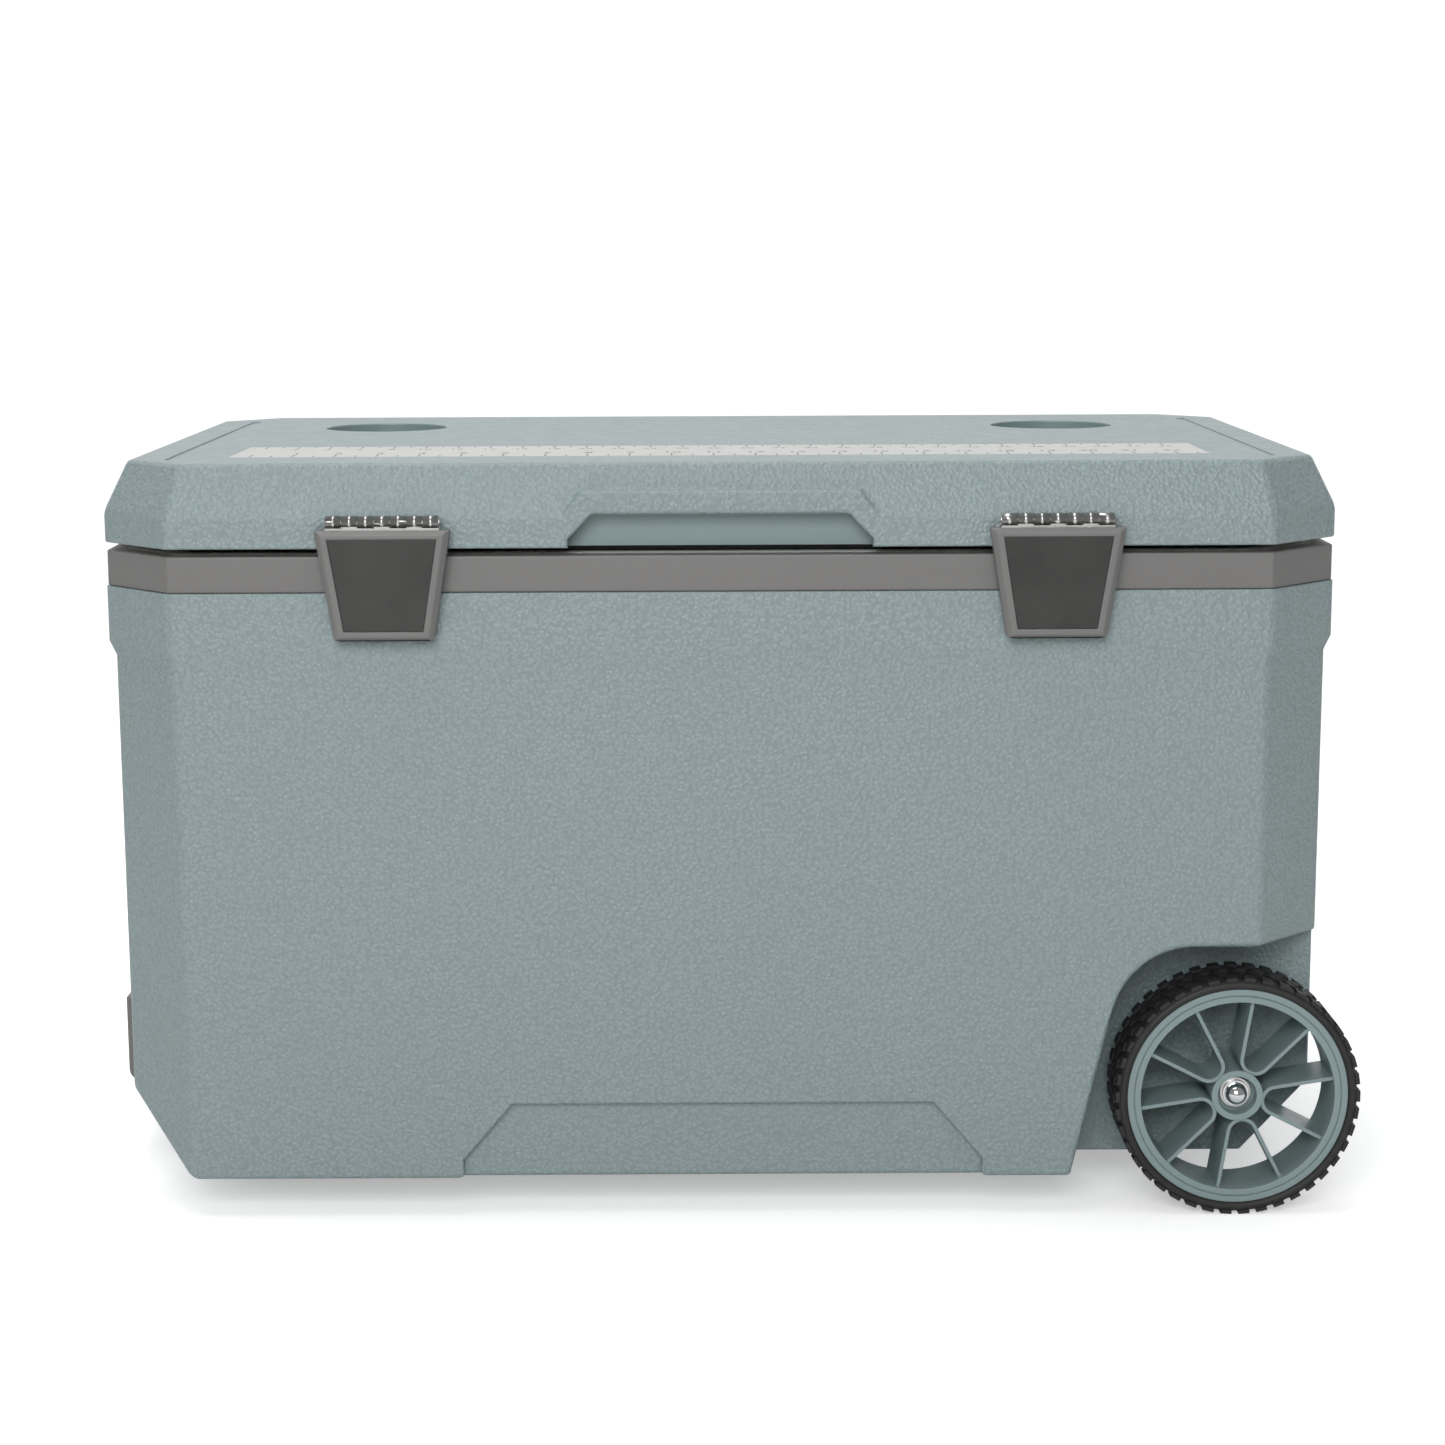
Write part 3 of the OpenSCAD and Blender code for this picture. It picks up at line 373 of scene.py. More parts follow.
# brushed 304 stainless steel of the latch plates, brushed up and down; its colour is darkened far below the
# steel's own, as painted reflection of the dark surroundings in front of the plates
BRUSHED_DARK_REFLECTION = Metal("stainless_brushed_dark_reflection", "4E4E4D", 0.32, (60.0, 60.0, 2.2))
# cold-drawn stainless steel, hinges, screws and axle
STEEL = Metal("stainless_drawn", "D2D1CF", 0.28, (2.0, 40.0, 40.0))
# chromed steel caps on the axle's ends
CHROME = Metal("chrome_plate", "DADBDD", 0.08)
# rigid foam
FOAM = Foam("polyurethane_foam", "E6D39A", 0.9)


# ---------------------------------------------------------------- mesh helpers

EdgeRule = Callable[[Vector, bmesh.types.BMEdge], float]
FaceTest = Callable[[Vector, Vector], bool]
# shares of the full rounding that are tried in turn, each with or without its flat regions laid anew
TRIES = ((1.0, True), (1.0, False), (0.7, True), (0.45, True), (0.25, True), (0.0, False))
# radii in mm within which a hidden hole's wall lies from its fastener's axis
SCREW_HOLE, DRAIN_HOLE = 2.4, 12.4


def plain(name: str, mesh: bpy.types.Mesh) -> bpy.types.Object:
    """Puts a mesh in the scene as an object at the origin."""
    obj = bpy.data.objects.new(name, mesh)
    bpy.context.scene.collection.objects.link(obj)
    return obj


def baked(obj: bpy.types.Object, name: str) -> bpy.types.Object:
    """Turns an object with modifiers into a plain mesh object.

    Args:
        obj: The object to evaluate. It is removed.
        name: The new object's name.

    Returns:
        The plain object.
    """
    graph = bpy.context.evaluated_depsgraph_get()
    graph.update()
    mesh = bpy.data.meshes.new_from_object(obj.evaluated_get(graph), depsgraph=graph)
    old = obj.data
    bpy.data.objects.remove(obj)
    if old.users == 0:
        bpy.data.meshes.remove(old)
    mesh.name = name
    return plain(name, mesh)


def own(obj: bpy.types.Object, *finishes: Finish) -> None:
    """Gives an object only these finishes."""
    obj.data.materials.clear()
    for finish in finishes:
        obj.data.materials.append(finish.build())


@dataclass
class Refined:
    """A copy of one CAD node with rounded edges.

    Attributes:
        node: The CAD node's name.
        finish: Its main finish.
        width_mm: Widest rounding, or the only one where there is no rule.
        rule: Gives an edge's rounding in mm from its midpoint, or None for the same everywhere.
        segments: Steps in a rounding.
        sharp_deg: Edges flatter than this are left alone.
        spots: Extra finishes, each with a test of a face's centre and normal.
        plugs: Fastener nodes whose hidden holes are closed first.
        shortest_mm: Shorter edges, as round small holes, stay sharp.
        allowed_mm2: Folded area that is too small to see.
        weld_mm: Corners closer than this become one.
    """

    node: str
    finish: Finish
    width_mm: float = 0.4
    rule: EdgeRule | None = None
    segments: int = 2
    sharp_deg: float = 24
    spots: Sequence[tuple[Finish, FaceTest]] = field(default_factory=tuple)
    plugs: tuple[str, ...] = ()
    shortest_mm: float = 0.0
    allowed_mm2: float = 0.5
    weld_mm: float = 0.01

    def build(self) -> bpy.types.Object:
        """Builds the copy, hides the CAD node and ties the copy to its body.

        Returns:
            The finished object.
        """
        source = frame["nodes"][self.node]
        bm = bmesh.new()
        bm.from_mesh(source.data)
        bmesh.ops.remove_doubles(bm, verts=bm.verts, dist=1e-5)
        surface = BVHTree.FromBMesh(bm)
        for node in self.plugs:
            fill_holes(bm, node)
        bmesh.ops.remove_doubles(bm, verts=bm.verts, dist=self.weld_mm * MM)
        bmesh.ops.dissolve_limit(bm, angle_limit=math.radians(0.4), use_dissolve_boundaries=False,
                                 verts=bm.verts, edges=bm.edges)
        layer = bm.edges.layers.float.new("bevel_weight_edge")
        limit = math.radians(self.sharp_deg)
        for edge in bm.edges:
            sharp = len(edge.link_faces) == 2 and edge.calc_face_angle(0) >= limit
            edge.smooth = not sharp
            if not sharp or edge.calc_length() < self.shortest_mm * MM:
                continue
            width = self.width_mm
            if self.rule:
                width = self.rule((edge.verts[0].co + edge.verts[1].co) / 2, edge)
            edge[layer] = min(1.0, max(0.0, width / self.width_mm))
            edge.smooth = edge[layer] > 0.05
        for face in bm.faces:
            face.smooth = True
            face.material_index = 0
        mesh = bpy.data.meshes.new(self.node + "_work")
        bm.to_mesh(mesh)
        bm.free()
        obj = self.rounded(mesh, surface)
        own(obj, self.finish, *(spot[0] for spot in self.spots))
        for polygon in obj.data.polygons:
            for index, (_, test) in enumerate(self.spots):
                if test(polygon.center, polygon.normal):
                    polygon.material_index = index + 1
        place(obj, self.node)
        return obj

    def rounded(self, mesh: bpy.types.Mesh, surface: BVHTree) -> bpy.types.Object:
        """Rounds the marked edges, with a smaller width where the full one would fold a face.

        Args:
            mesh: The copy, with its edges' weights.
            surface: The CAD node's own surface.

        Returns:
            The rounded object.
        """
        for share, relay in TRIES:
            obj = plain(self.node + "_try", mesh.copy())
            if share:
                bevel = obj.modifiers.new("Round", "BEVEL")
                bevel.limit_method = "WEIGHT"
                bevel.width = self.width_mm * share * MM
                bevel.segments = self.segments
                bevel.use_clamp_overlap = False
                bevel.loop_slide = False
                bevel.face_strength_mode = "FSTR_NEW"
                obj = baked(obj, self.node + "_round")
                if relay:
                    relay_flats(obj.data)
            normals = obj.modifiers.new("Normals", "WEIGHTED_NORMAL")
            normals.keep_sharp = True
            normals.use_face_influence = True
            normals.weight = 80
            obj = baked(obj, self.node + "_skin")
            folded = folded_area(obj.data, surface, 0.45 * self.width_mm * share * MM + 6e-5)
            if folded <= self.allowed_mm2 or not share:
                break
            LOG.info("%s: %.1f mm2 folded at %.2f of the width", self.node, folded, share)
            bpy.data.meshes.remove(obj.data)
        bpy.data.meshes.remove(mesh)
        return obj


def flat_region(face: bmesh.types.BMFace) -> list[bmesh.types.BMFace]:
    """All faces that lie in one plane with a face and hang together with it."""
    region, known = [face], {face}
    # the list grows while it is walked
    for item in region:
        for edge in item.edges:
            for other in edge.link_faces:
                if other not in known and other.normal.dot(face.normal) > 1 - 1e-7:
                    known.add(other)
                    region.append(other)
    return region


def outline(faces: list[bmesh.types.BMFace]) -> list[bmesh.types.BMEdge]:
    """The edges between some faces and the rest, in a fixed order."""
    inside = set(faces)
    rim = [e for f in faces for e in f.edges if any(o not in inside for o in e.link_faces)]
    return list(dict.fromkeys(rim))


def relay_flats(mesh: bpy.types.Mesh) -> None:
    """Fills every many-sided flat region anew from its outline, so that holes in it fold nothing.

    Args:
        mesh: The rounded mesh. Its steep edges are marked sharp as well.
    """
    bm = bmesh.new()
    bm.from_mesh(mesh)
    for face in sorted((f for f in bm.faces if len(f.verts) > 4), key=lambda f: -f.calc_area()):
        if not face.is_valid:
            continue
        normal = face.normal.copy()
        region = flat_region(face)
        rim = outline(region)
        bmesh.ops.delete(bm, geom=region, context="FACES")
        made = bmesh.ops.triangle_fill(bm, use_beauty=True, edges=rim, normal=normal)
        for item in made["geom"]:
            if isinstance(item, bmesh.types.BMFace):
                item.smooth = True
                if item.normal.dot(normal) < 0:
                    item.normal_flip()
    for edge in bm.edges:
        if len(edge.link_faces) == 2 and edge.calc_face_angle(0) > math.radians(50):
            edge.smooth = False
    bm.to_mesh(mesh)
    bm.free()


def folded_area(mesh: bpy.types.Mesh, surface: BVHTree, reach: float) -> float:
    """Measures the triangles that face the wrong way or leave the CAD surface.

    Args:
        mesh: The rounded mesh.
        surface: The CAD node's own surface.
        reach: How far a rounding may take a triangle from it.

    Returns:
        The area in square mm.
    """
    mesh.calc_loop_triangles()
    total = 0.0
    for tri in mesh.loop_triangles:
        a, b, c = (mesh.vertices[i].co for i in tri.vertices)
        normal = (b - a).cross(c - a)
        if normal.length < 2e-8:
            continue
        _, facing, _, away = surface.find_nearest((a + b + c) / 3)
        if facing.dot(normal.normalized()) < -0.2 or away > reach:
            total += normal.length * 5e5
    return total


def fill_holes(bm: bmesh.types.BMesh, node: str) -> None:
    """Closes the hidden holes of a group of fasteners, so that flat faces stay whole.

    Args:
        bm: The mesh to mend.
        node: The fasteners' CAD node.
    """
    radius = (DRAIN_HOLE if node == "drain_fitting" else SCREW_HOLE) * MM
    for middle, axis, reach in fastener_axes(node):
        walls = []
        for face in bm.faces:
            off = face.calc_center_median() - middle
            side = off - axis * off.dot(axis)
            if side.length < radius and abs(off.dot(axis)) < reach and abs(face.normal.dot(axis)) < 0.3:
                walls.append(face)
        rims = outline(walls)
        bmesh.ops.delete(bm, geom=walls, context="FACES")
        bmesh.ops.holes_fill(bm, edges=[e for e in rims if e.is_valid], sides=0)
    bmesh.ops.recalc_face_normals(bm, faces=bm.faces)


def fastener_axes(node: str) -> list[tuple[Vector, Vector, float]]:
    """Middle, axis and reach each way of every round fastener in a CAD node."""
    bm = bmesh.new()
    bm.from_mesh(frame["nodes"][node].data)
    bmesh.ops.remove_doubles(bm, verts=bm.verts, dist=1e-5)
    found, seen = [], set()
    for start in bm.verts:
        if start in seen:
            continue
        island, queue = set(), [start]
        while queue:
            vert = queue.pop()
            if vert in island:
                continue
            island.add(vert)
            queue += [e.other_vert(vert) for e in vert.link_edges]
        seen |= island
        low = Vector([min(v.co[i] for v in island) for i in range(3)])
        high = Vector([max(v.co[i] for v in island) for i in range(3)])
        # the heads are as wide both ways, so the axis is the odd one out
        pairs = [(abs((high - low)[a] - (high - low)[b]), 3 - a - b) for a, b in ((0, 1), (0, 2), (1, 2))]
        axis = Vector((0, 0, 0))
        axis[min(pairs)[1]] = 1.0
        found.append(((low + high) / 2, axis, (high - low).dot(axis) / 2 + 3 * MM))
    bm.free()
    return found


def place(obj: bpy.types.Object, *nodes: str) -> None:
    """Ties a finished piece to the body of the CAD nodes that it stands for."""
    source = frame["nodes"][nodes[0]]
    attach(obj, source["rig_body"])
    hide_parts(*nodes)
    LOG.info("%s stands for %s", obj.name, ", ".join(nodes))


# ---------------------------------------------------------------- geometry nodes


class Nodes:
    """A builder for one Geometry Nodes modifier tree."""

    def __init__(self, name: str) -> None:
        """Args: name: The node group's name."""
        self.group = bpy.data.node_groups.new(name, "GeometryNodeTree")
        self.group.interface.new_socket("Geometry", in_out="OUTPUT", socket_type="NodeSocketGeometry")
        self.group.interface.new_socket("Geometry", in_out="INPUT", socket_type="NodeSocketGeometry")
        self.source = self.group.nodes.new("NodeGroupInput")
        self.sink = self.group.nodes.new("NodeGroupOutput")
        self.values: dict[str, object] = {}

    def parameter(self, name: str, kind: str, value) -> bpy.types.NodeSocket:
        """Adds a named input.

        Args:
            name: The input's name.
            kind: Its socket type, such as NodeSocketFloat.
            value: The value that the modifier gets.

        Returns:
            The socket inside the tree.
        """
        item = self.group.interface.new_socket(name, in_out="INPUT", socket_type=kind)
        self.values[item.identifier] = value
        return self.source.outputs[name]

    def node(self, kind: str, inputs: dict | None = None, **props) -> bpy.types.Node:
        """Adds a node, sets its properties and feeds its inputs."""
        made = self.group.nodes.new(kind)
        for key, value in props.items():
            setattr(made, key, value)
        for key, value in (inputs or {}).items():
            if isinstance(value, bpy.types.NodeSocket):
                self.group.links.new(value, made.inputs[key])
            else:
                made.inputs[key].default_value = value
        return made

    def math(self, operation: str, a, b=0.0) -> bpy.types.NodeSocket:
        """A two-value maths node."""
        return self.node("ShaderNodeMath", {0: a, 1: b}, operation=operation).outputs[0]

    def xyz(self, x=0.0, y=0.0, z=0.0) -> bpy.types.NodeSocket:
        """A vector from three values."""
        return self.node("ShaderNodeCombineXYZ", {"X": x, "Y": y, "Z": z}).outputs[0]

    def finish(self, geometry: bpy.types.NodeSocket, material: bpy.types.Material) -> None:
        """Ends the tree with Realize Instances and Set Material."""
        slot = self.parameter("Material", "NodeSocketMaterial", material)
        solid = self.node("GeometryNodeRealizeInstances", {"Geometry": geometry})
        painted = self.node("GeometryNodeSetMaterial", {"Geometry": solid.outputs[0], "Material": slot})
        self.group.links.new(painted.outputs[0], self.sink.inputs[0])

    def bake(self, name: str, base: bpy.types.Mesh | None = None) -> bpy.types.Object:
        """Evaluates the tree once and returns a plain mesh object."""
        obj = plain(name + "_work", base or bpy.data.meshes.new(name + "_base"))
        modifier = obj.modifiers.new("Nodes", "NODES")
        modifier.node_group = self.group
        for identifier, value in self.values.items():
            modifier[identifier] = value
        result = baked(obj, name)
        for polygon in result.data.polygons:
            polygon.use_smooth = False
        return result


@dataclass
class TreadRing:
    """Rows of tread blocks round a tyre, laid by Geometry Nodes.

    Attributes:
        radius: Radius to the blocks' middle, in metres.
        width: Width of the tread.
        per_row: Blocks in one row.
        height: Height of a block.
    """

    radius: float
    width: float
    per_row: int = 42
    height: float = 2.4 * MM

    def build(self, name: str, centre: Vector) -> bpy.types.Object:
        """Builds the ring about an axis along Y through centre."""
        nodes = Nodes("TreadRing")
        count = nodes.parameter("Count", "NodeSocketInt", self.per_row)
        radius = nodes.parameter("Radius", "NodeSocketFloat", self.radius)
        height = nodes.parameter("Height", "NodeSocketFloat", self.height)
        rows = nodes.node("GeometryNodeJoinGeometry")
        pitch = 2 * math.pi * self.radius / self.per_row
        # (middle of the row along Y, block width, block length share, phase, skew)
        layout = [(-0.39, 0.2, 0.62, 0.0, 0.0), (0.39, 0.2, 0.62, 0.5, 0.0),
                  (-0.14, 0.2, 0.5, 0.5, 0.45), (0.14, 0.2, 0.5, 0.0, -0.45)]
        for middle, share, length, phase, skew in layout:
            index = nodes.node("GeometryNodeInputIndex").outputs[0]
            turn = nodes.math("MULTIPLY", nodes.math("ADD", index, phase),
                              nodes.math("DIVIDE", 2 * math.pi, count))
            x = nodes.math("MULTIPLY", nodes.math("COSINE", turn), radius)
            z = nodes.math("MULTIPLY", nodes.math("SINE", turn), radius)
            points = nodes.node("GeometryNodePoints", {"Count": count,
                                                       "Position": nodes.xyz(x, self.width * middle, z)})
            block = nodes.node("GeometryNodeMeshCube", {
                "Size": nodes.xyz(height, self.width * share, pitch * length)})
            skewed = nodes.node("GeometryNodeTransform", {"Geometry": block.outputs[0],
                                                          "Rotation": (skew, 0.0, 0.0)})
            facing = nodes.node("FunctionNodeEulerToRotation", {
                "Euler": nodes.xyz(0.0, nodes.math("MULTIPLY", turn, -1.0), 0.0)})
            laid = nodes.node("GeometryNodeInstanceOnPoints", {
                "Points": points.outputs[0], "Instance": skewed.outputs[0], "Rotation": facing.outputs[0]})
            nodes.group.links.new(laid.outputs[0], rows.inputs[0])
        moved = nodes.node("GeometryNodeTransform", {"Geometry": rows.outputs[0],
                                                     "Translation": tuple(centre)})
        nodes.finish(moved.outputs[0], TYRE.build())
        return nodes.bake(name)


@dataclass
class TickRow:
    """A row of printed ticks, laid by Geometry Nodes.

    Attributes:
        start: Middle of the first tick.
        pitch: Distance between ticks.
        count: Number of ticks.
        length: Length of a long tick.
        every: Each so many ticks is long; the others are half as long.
        inward: Direction, along Y, in which the ticks grow.
    """

    start: Vector
    pitch: float
    count: int
    length: float
    every: int
    inward: int

    def build(self, name: str) -> bpy.types.Object:
        """Builds the ticks as thin printed bars."""
        nodes = Nodes("TickRow")
        count = nodes.parameter("Count", "NodeSocketInt", self.count)
        pitch = nodes.parameter("Pitch", "NodeSocketFloat", self.pitch)
        length = nodes.parameter("Length", "NodeSocketFloat", self.length)
        index = nodes.node("GeometryNodeInputIndex").outputs[0]
        rest = nodes.math("MODULO", index, float(self.every))
        share = nodes.math("ADD", nodes.math("MULTIPLY", nodes.math("LESS_THAN", rest, 0.5), 0.5), 0.5)
        size = nodes.math("MULTIPLY", share, length)
        x = nodes.math("ADD", nodes.math("MULTIPLY", index, pitch), self.start.x)
        y = nodes.math("ADD", nodes.math("MULTIPLY", size, 0.5 * self.inward), self.start.y)
        points = nodes.node("GeometryNodePoints", {"Count": count, "Position": nodes.xyz(x, y, self.start.z)})
        bar = nodes.node("GeometryNodeMeshCube", {"Size": (0.9 * MM, 1.0, 0.1 * MM)})
        laid = nodes.node("GeometryNodeInstanceOnPoints", {
            "Points": points.outputs[0], "Instance": bar.outputs[0], "Scale": nodes.xyz(1.0, size, 1.0)})
        nodes.finish(laid.outputs[0], INK.build())
        return nodes.bake(name)


@dataclass
class CrossMarks:
    """Painted shade of the cross slots in screw heads: dark bars laid by Geometry Nodes on the heads'
    middles.
    """

    heads: list[tuple[Vector, Vector]]
    size: float = 4.2 * MM

    def build(self, name: str) -> bpy.types.Object:
        """Builds two thin dark bars on every head, along and across it, as painted shade of the slots, which
        are not cut.
        """
        base = bpy.data.meshes.new(name + "_points")
        base.from_pydata([tuple(p) for p, _ in self.heads], [], [])
        way = base.attributes.new("facing", "FLOAT_VECTOR", "POINT")
        way.data.foreach_set("vector", [c for _, n in self.heads for c in n])
        nodes = Nodes("CrossMarks")
        size = nodes.parameter("Size", "NodeSocketFloat", self.size)
        facing = nodes.node("GeometryNodeInputNamedAttribute", {"Name": "facing"}, data_type="FLOAT_VECTOR")
        turned = nodes.node("FunctionNodeAlignRotationToVector", {"Vector": facing.outputs[0]}, axis="Z")
        bar = nodes.node("GeometryNodeMeshCube", {"Size": nodes.xyz(size, 0.8 * MM, 0.12 * MM)})
        across = nodes.node("GeometryNodeTransform", {"Geometry": bar.outputs[0],
                                                      "Rotation": (0.0, 0.0, math.pi / 2)})
        both = nodes.node("GeometryNodeJoinGeometry")
        nodes.group.links.new(bar.outputs[0], both.inputs[0])
        nodes.group.links.new(across.outputs[0], both.inputs[0])
        laid = nodes.node("GeometryNodeInstanceOnPoints", {
            "Points": nodes.source.outputs[0], "Instance": both.outputs[0], "Rotation": turned.outputs[0]})
        # the bars' black colour is painted shade of the slots
        nodes.finish(laid.outputs[0], NYLON.build())
        return nodes.bake(name, base)


# ---------------------------------------------------------------- sub-assemblies


@dataclass
class Envelope:
    """Main planes of the cooler, read from the CAD boxes."""

    centre_x: float = 0.0
    centre_y: float = 0.0
    half_x: float = 0.0
    half_y: float = 0.0
    floor: float = 0.0
    band: float = 0.0

    @classmethod
    def read(cls) -> "Envelope":
        """Measures the body shell's box."""
        low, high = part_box("body_shell")
        mid = (low + high) / 2
        return cls(mid.x, mid.y, (high.x - low.x) / 2, (high.y - low.y) / 2, low.z, high.z)

    def inset(self, at: Vector, corner: float = 44 * MM) -> float:
        """How far a point lies inside the cut-corner outline of the collar."""
        x, y = abs(at.x - self.centre_x), abs(at.y - self.centre_y)
        slant = (self.half_x + self.half_y - corner - x - y) / math.sqrt(2)
        return min(self.half_x - x, self.half_y - y, slant)


@dataclass
class Box:
    """The moulded body with its liner, rim band, feet and drain."""

    space: Envelope
    well_reach: float = 106 * MM
    well_top: float = 143 * MM
    recess_half: float = 165 * MM
    recess_top: float = 48 * MM
    foot_top: float = 60 * MM

    def _shell_edge(self, mid: Vector, edge: bmesh.types.BMEdge) -> float:
        """Rounding of an outer-shell edge: generous outside, none in the hidden cavity.

        Args:
            mid: The edge's middle.
            edge: The edge.

        Returns:
            Its rounding in mm.
        """
        s = self.space
        inset = s.inset(mid)
        height = mid.z - s.floor
        wheel = frame_wheel(Side.FRONT)
        along = edge.verts[0].co - edge.verts[1].co
        convex = edge.calc_face_angle_signed(0) > 0
        by_wheel = mid.x > wheel.x - self.well_reach
        in_recess = abs(mid.x) < self.recess_half and mid.y < 0 and height < self.recess_top
        if mid.x < s.centre_x - 300 * MM and height < self.foot_top:
            # the cut-away foot of the left end, outside only
            return 5.0 if convex else 0.0
        if height < 1.5 * MM:
            return 2.0 if by_wheel else 5.0
        if abs(along.z) > self.foot_top:
            # long upright edges: convex ones are outside, hollow ones line the cavity
            return 5.0 if convex else 0.0
        if inset > 9.2 * MM or 5.2 * MM < inset < 8.4 * MM:
            return 0.0
        if inset >= 8.4 * MM:
            # floor of the low front recess
            return 2.2 if in_recess else 0.0
        if height > (s.band - s.floor) - 1 * MM:
            return 1.2 if inset < 1 * MM else 0.0
        if by_wheel and height < self.well_top:
            # sharp low down, growing softer round the arch, and sharper again on the end
            if abs(mid.y - s.centre_y) < s.half_y - 30 * MM:
                return 2.5
            turn = math.atan2(mid.z - (wheel.z + 42 * MM), wheel.x - 33 * MM - mid.x)
            return 2.5 + 4.0 * min(1.0, max(0.0, turn / (math.pi / 2)))
        if in_recess:
            return 2.2
        if abs(along.z) < 1e-5 and height > 300 * MM:
            return 3.0
        if abs(along.z) > 0.9 * along.length and height > 52 * MM:
            return 5.0
        return 3.0

    def build(self) -> None:
        """Builds every fixed plastic piece of the body."""
        Refined("body_shell", TEAL, 6.5, self._shell_edge, 4, shortest_mm=1.3, allowed_mm2=40, weld_mm=0.35,
                plugs=("handle_bracket_screws", "foot_screws", "drain_fitting")).build()
        Refined("rim_band", GREY, 1.2, lambda m, e: 1.2 if self.space.inset(m) < 2 * MM else 0.0, 3,
                shortest_mm=0.8, allowed_mm2=4, plugs=("hinge_body_screws",)).build()
        Refined("inner_liner", WHITE, 5.0, lambda m, e: 5.0 if m.z < self.space.band - 10 * MM else 0.8, 4,
                allowed_mm2=40, plugs=("drain_fitting",)).build()
        Refined("body_foam", FOAM, 0.1).build()
        for foot in ("foot_front", "foot_back"):
            Refined(foot, BLACK, 2.0, segments=3).build()
        for node, finish, width in (("drain_fitting", WHITE, 0.8), ("drain_gasket", BLACK, 0.2),
                                    ("drain_nut", WHITE, 0.6), ("drain_plug", BLACK, 0.8)):
            Refined(node, finish, width).build()


@dataclass
class Lid:
    """The lid's skin, liner, foam, gasket and printed ruler."""

    space: Envelope

    def build(self) -> None:
        """Builds the lid's pieces."""
        low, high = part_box("lid_shell")
        skirt = 18.6 * MM

        def edge_width(mid: Vector, edge: bmesh.types.BMEdge) -> float:
            """Rounding in mm: soft outside, small on the top's grooves, none underneath."""
            inset = self.space.inset(mid)
            if mid.z > high.z - 0.2 * MM:
                if 10 * MM < inset < 20 * MM:
                    return 3.0
                return 1.2 if self.cup_distance(mid) < 48 * MM else 0.3
            if mid.z > high.z - 1.6 * MM:
                return 0.3
            if inset > 17.5 * MM or mid.z < low.z + 0.5 * MM:
                return 1.6 if inset < 1 * MM else 0.0
            if abs(mid.z - low.z - skirt) < 1 * MM and inset < 1 * MM:
                return 2.6
            if abs(mid.x - self.space.centre_x) < 0.12:
                return 2.0 if inset < 1 * MM or mid.z > low.z + skirt else 0.0
            return 3.0 if inset < 16 * MM and edge.calc_face_angle_signed(0) > 0 else 0.0

        cup_low = high.z - 25 * MM

        def cup_wall(at: Vector, normal: Vector) -> bool:
            """Tells the smooth walls and floors of the cup recesses."""
            return self.cup_distance(at) < 42.6 * MM and at.z > cup_low

        def recess_wall(at: Vector, normal: Vector) -> bool:
            """Tells the smooth walls of the finger grip under the lid's front edge."""
            return (at.y > low.y + 4 * MM and at.y < low.y + 17 * MM and at.z < low.z + skirt + 2 * MM
                    and abs(at.x - self.space.centre_x) < 96 * MM)

        Refined("lid_shell", TEAL, 4.0, edge_width, 4, shortest_mm=1.3, allowed_mm2=20,
                plugs=("hinge_lid_screws", "latch_lid_screws"),
                spots=((TEAL_SMOOTH, cup_wall), (TEAL_SMOOTH, recess_wall))).build()
        Refined("lid_liner", WHITE, 1.5, segments=3).build()
        Refined("lid_foam", FOAM, 0.1).build()
        Refined("lid_gasket", BLACK, 1.0).build()
        self.ruler()

    def cup_distance(self, at: Vector) -> float:
        """Distance in plan from a point to the nearer cup recess's axis."""
        x, y = abs(at.x - self.space.centre_x), at.y - self.space.centre_y
        return math.hypot(x - 229 * MM, y - 100 * MM)

    def ruler(self) -> None:
        """Builds the strip with inch marks along its front and centimetres along its back."""
        strip = Refined("ruler_strip", VINYL, 0.2).build()
        low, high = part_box("ruler_strip")
        top = high.z - 0.02 * MM
        inch, two_cm = 25.4 * MM, 20 * MM
        zero, margin = low.x + 12 * MM, 2 * MM
        front, back = Vector((zero, low.y + margin, top)), Vector((zero, high.y - margin, top))
        pieces = [TickRow(front, inch / 2, 46, 15 * MM, 2, 1).build("ticks_in"),
                  TickRow(back, two_cm / 2, 57, 12 * MM, 2, -1).build("ticks_cm")]
        inches = (22, inch, 1, front.y + 20 * MM, 12 * MM)
        centimetres = (28, two_cm, 2, back.y - 24 * MM, 9 * MM)
        for count, pitch, units, y, size in (inches, centimetres):
            for k in range(1, count + 1):
                pieces.append(self.digit(str(k * units), Vector((zero + k * pitch, y, top)), size))
        merge_into(pieces, "ruler_print")
        print_obj = bpy.data.objects["ruler_print"]
        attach(print_obj, strip["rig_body"])
        LOG.info("ruler_print rides on the lid")

    @staticmethod
    def digit(text: str, at: Vector, size: float) -> bpy.types.Object:
        """One printed number, centred on a point."""
        curve = bpy.data.curves.new("number", "FONT")
        curve.body = text
        curve.size = size
        curve.align_x = "CENTER"
        curve.resolution_u = 3
        curve.extrude = 0.04 * MM
        obj = bpy.data.objects.new("number", curve)
        bpy.context.scene.collection.objects.link(obj)
        graph = bpy.context.evaluated_depsgraph_get()
        graph.update()
        mesh = bpy.data.meshes.new_from_object(obj.evaluated_get(graph), depsgraph=graph)
        bpy.data.objects.remove(obj)
        mesh.transform(Matrix.Translation(at))
        done = plain("number_" + text, mesh)
        own(done, INK)
        return done


